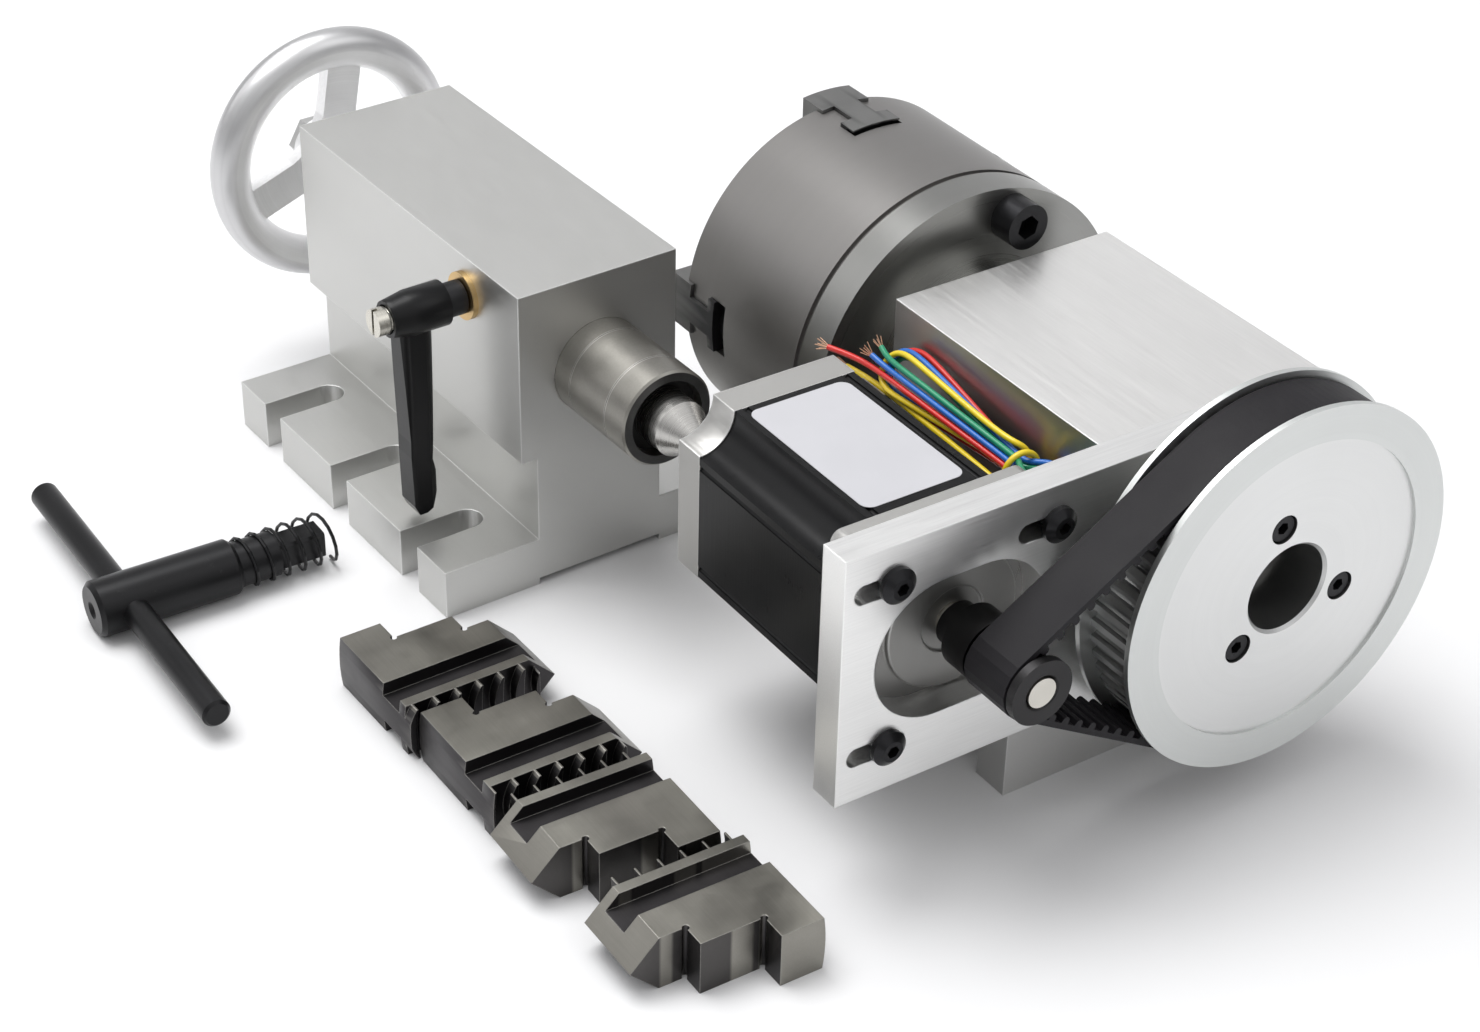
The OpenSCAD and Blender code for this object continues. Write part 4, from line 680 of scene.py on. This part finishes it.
# Width of each hard-edged piece's machined edge, in millimetres
EDGES = {"headstock_block": 0.4, "tailstock_body": 0.4, "motor_flange": 0.5, "motor_rear_cap": 0.5,
         "lever_handle": 0.7, "spare_jaws_a": 0.2, "spare_jaws_b": 0.2}
EDGE_ANGLE = math.radians(35)
SAME_POINT = 1e-6


def soften_edges():
    for name, width in EDGES.items():
        node = NODES[name]
        weld = node.modifiers.new("weld", "WELD")
        weld.merge_threshold = SAME_POINT
        bevel = node.modifiers.new("edge", "BEVEL")
        bevel.width, bevel.segments = width * MM, 2
        bevel.limit_method, bevel.angle_limit = "ANGLE", EDGE_ANGLE
        bevel.use_clamp_overlap = True
        bevel.harden_normals = True


# The floor in metres: how far it reaches to the near side, and where its walls begin and end
FLOOR_NEAR, WALL_AT, WALL_H = 6.0, 1.2, 3.0
SIDE_WALL_AT, SIDE_WALL_H = 3.0, 1.0
WALL_BEND, BEND_STEPS = 0.6, 16


def cove(start, height):
    """Profile of a floor that bends up into a wall: distances and heights."""
    turns = (math.pi / 2 * k / BEND_STEPS for k in range(1, BEND_STEPS + 1))
    curve = [(start + WALL_BEND * math.sin(a), WALL_BEND * (1 - math.cos(a))) for a in turns]
    return [(start, 0.0)] + curve + [(start + WALL_BEND, height)]


def make_stage():
    """A pale paper floor, square to the camera, with a wall behind the set and a low one on either side."""
    rows = [(-FLOOR_NEAR, 0.0)] + cove(WALL_AT, WALL_H)
    side = cove(SIDE_WALL_AT, SIDE_WALL_H)
    columns = [(-x, z) for x, z in reversed(side)] + side
    points = [(x, y, z + rise) for y, z in rows for x, rise in columns]
    wide = len(columns)
    faces = [(r * wide + c, r * wide + c + 1, (r + 1) * wide + c + 1, (r + 1) * wide + c)
             for r in range(len(rows) - 1) for c in range(wide - 1)]
    mesh = bpy.data.meshes.new("floor")
    mesh.from_pydata(points, [], faces)
    for poly in mesh.polygons:
        poly.use_smooth = True
    n = Nodes("floor_paper")
    n.shader.inputs["Base Color"].default_value = (0.80, 0.80, 0.805, 1)
    n.shader.inputs["Roughness"].default_value = 0.6
    n.shader.inputs["Specular IOR Level"].default_value = 0.2
    mesh.materials.append(n.material)
    floor = bpy.data.objects.new("floor", mesh)
    floor.matrix_world = Matrix.Rotation(AZIMUTH, 4, "Z")
    bpy.context.scene.collection.objects.link(floor)


# Sky: height of each stop and its brightness, and soft patches with their directions and strengths
SKY_STOPS = ((0.0, 0.16), (0.12, 0.20), (0.45, 0.52), (0.75, 0.84))
SKY_PATCHES = (((-0.56, 0.69, 0.47), 0.8), ((0.47, -0.55, 0.69), 0.7), ((0.47, 0.69, 0.56), 0.5))
PATCH_EDGE, PATCH_CORE = 0.93, 0.99
SKY_BLUE = 1.01


def sky_gradient(tree, height):
    ramp = tree.nodes.new("ShaderNodeValToRGB")
    first, last = ramp.color_ramp.elements
    first.position, last.position = SKY_STOPS[0][0], SKY_STOPS[-1][0]
    for place, _ in SKY_STOPS[1:-1]:
        ramp.color_ramp.elements.new(place)
    for element, (_, level) in zip(ramp.color_ramp.elements, SKY_STOPS):
        element.color = (level, level, level * SKY_BLUE, 1)
    tree.links.new(height, ramp.inputs[0])
    return ramp.outputs[0]


def sky_patch(tree, coords, direction, strength):
    """A soft bright patch round one direction."""
    near = tree.nodes.new("ShaderNodeVectorMath")
    near.operation = "DOT_PRODUCT"
    near.inputs[1].default_value = direction
    tree.links.new(coords, near.inputs[0])
    patch = tree.nodes.new("ShaderNodeMapRange")
    patch.interpolation_type = "SMOOTHSTEP"
    for key, value in (("From Min", PATCH_EDGE), ("From Max", PATCH_CORE), ("To Max", strength)):
        patch.inputs[key].default_value = value
    tree.links.new(near.outputs["Value"], patch.inputs["Value"])
    return patch.outputs[0]


def make_world():
    """A white studio: bright above and dark round the horizon, so that metal shows its shape."""
    world = bpy.data.worlds.new("studio")
    world.use_nodes = True
    tree = world.node_tree
    coords = tree.nodes.new("ShaderNodeTexCoord").outputs["Generated"]
    split = tree.nodes.new("ShaderNodeSeparateXYZ")
    tree.links.new(coords, split.inputs[0])
    light = sky_gradient(tree, split.outputs["Z"])
    for direction, strength in SKY_PATCHES:
        add = tree.nodes.new("ShaderNodeVectorMath")
        add.operation = "ADD"
        tree.links.new(light, add.inputs[0])
        tree.links.new(sky_patch(tree, coords, direction, strength), add.inputs[1])
        light = add.outputs[0]
    background = tree.nodes["Background"]
    tree.links.new(light, background.inputs["Color"])
    background.inputs["Strength"].default_value = 1.0
    bpy.context.scene.world = world


LIGHT_AIM = Vector((-0.06, 0.05, 0.05))


def area_light(name, place, size, power):
    data = bpy.data.lights.new(name, "AREA")
    data.shape = "RECTANGLE"
    data.size, data.size_y = size
    data.energy = power
    lamp = bpy.data.objects.new(name, data)
    direction = LIGHT_AIM - Vector(place)
    lamp.matrix_world = Matrix.Translation(place) @ direction.to_track_quat("-Z", "Y").to_matrix().to_4x4()
    bpy.context.scene.collection.objects.link(lamp)


make_stage()
make_world()
area_light("key_light", (-0.35, 0.55, 1.75), (1.2, 1.2), 27)
area_light("front_light", (-0.3, -1.3, 0.7), (1.2, 0.5), 0.9)
soften_edges()
bpy.context.scene.view_settings.view_transform = "Standard"
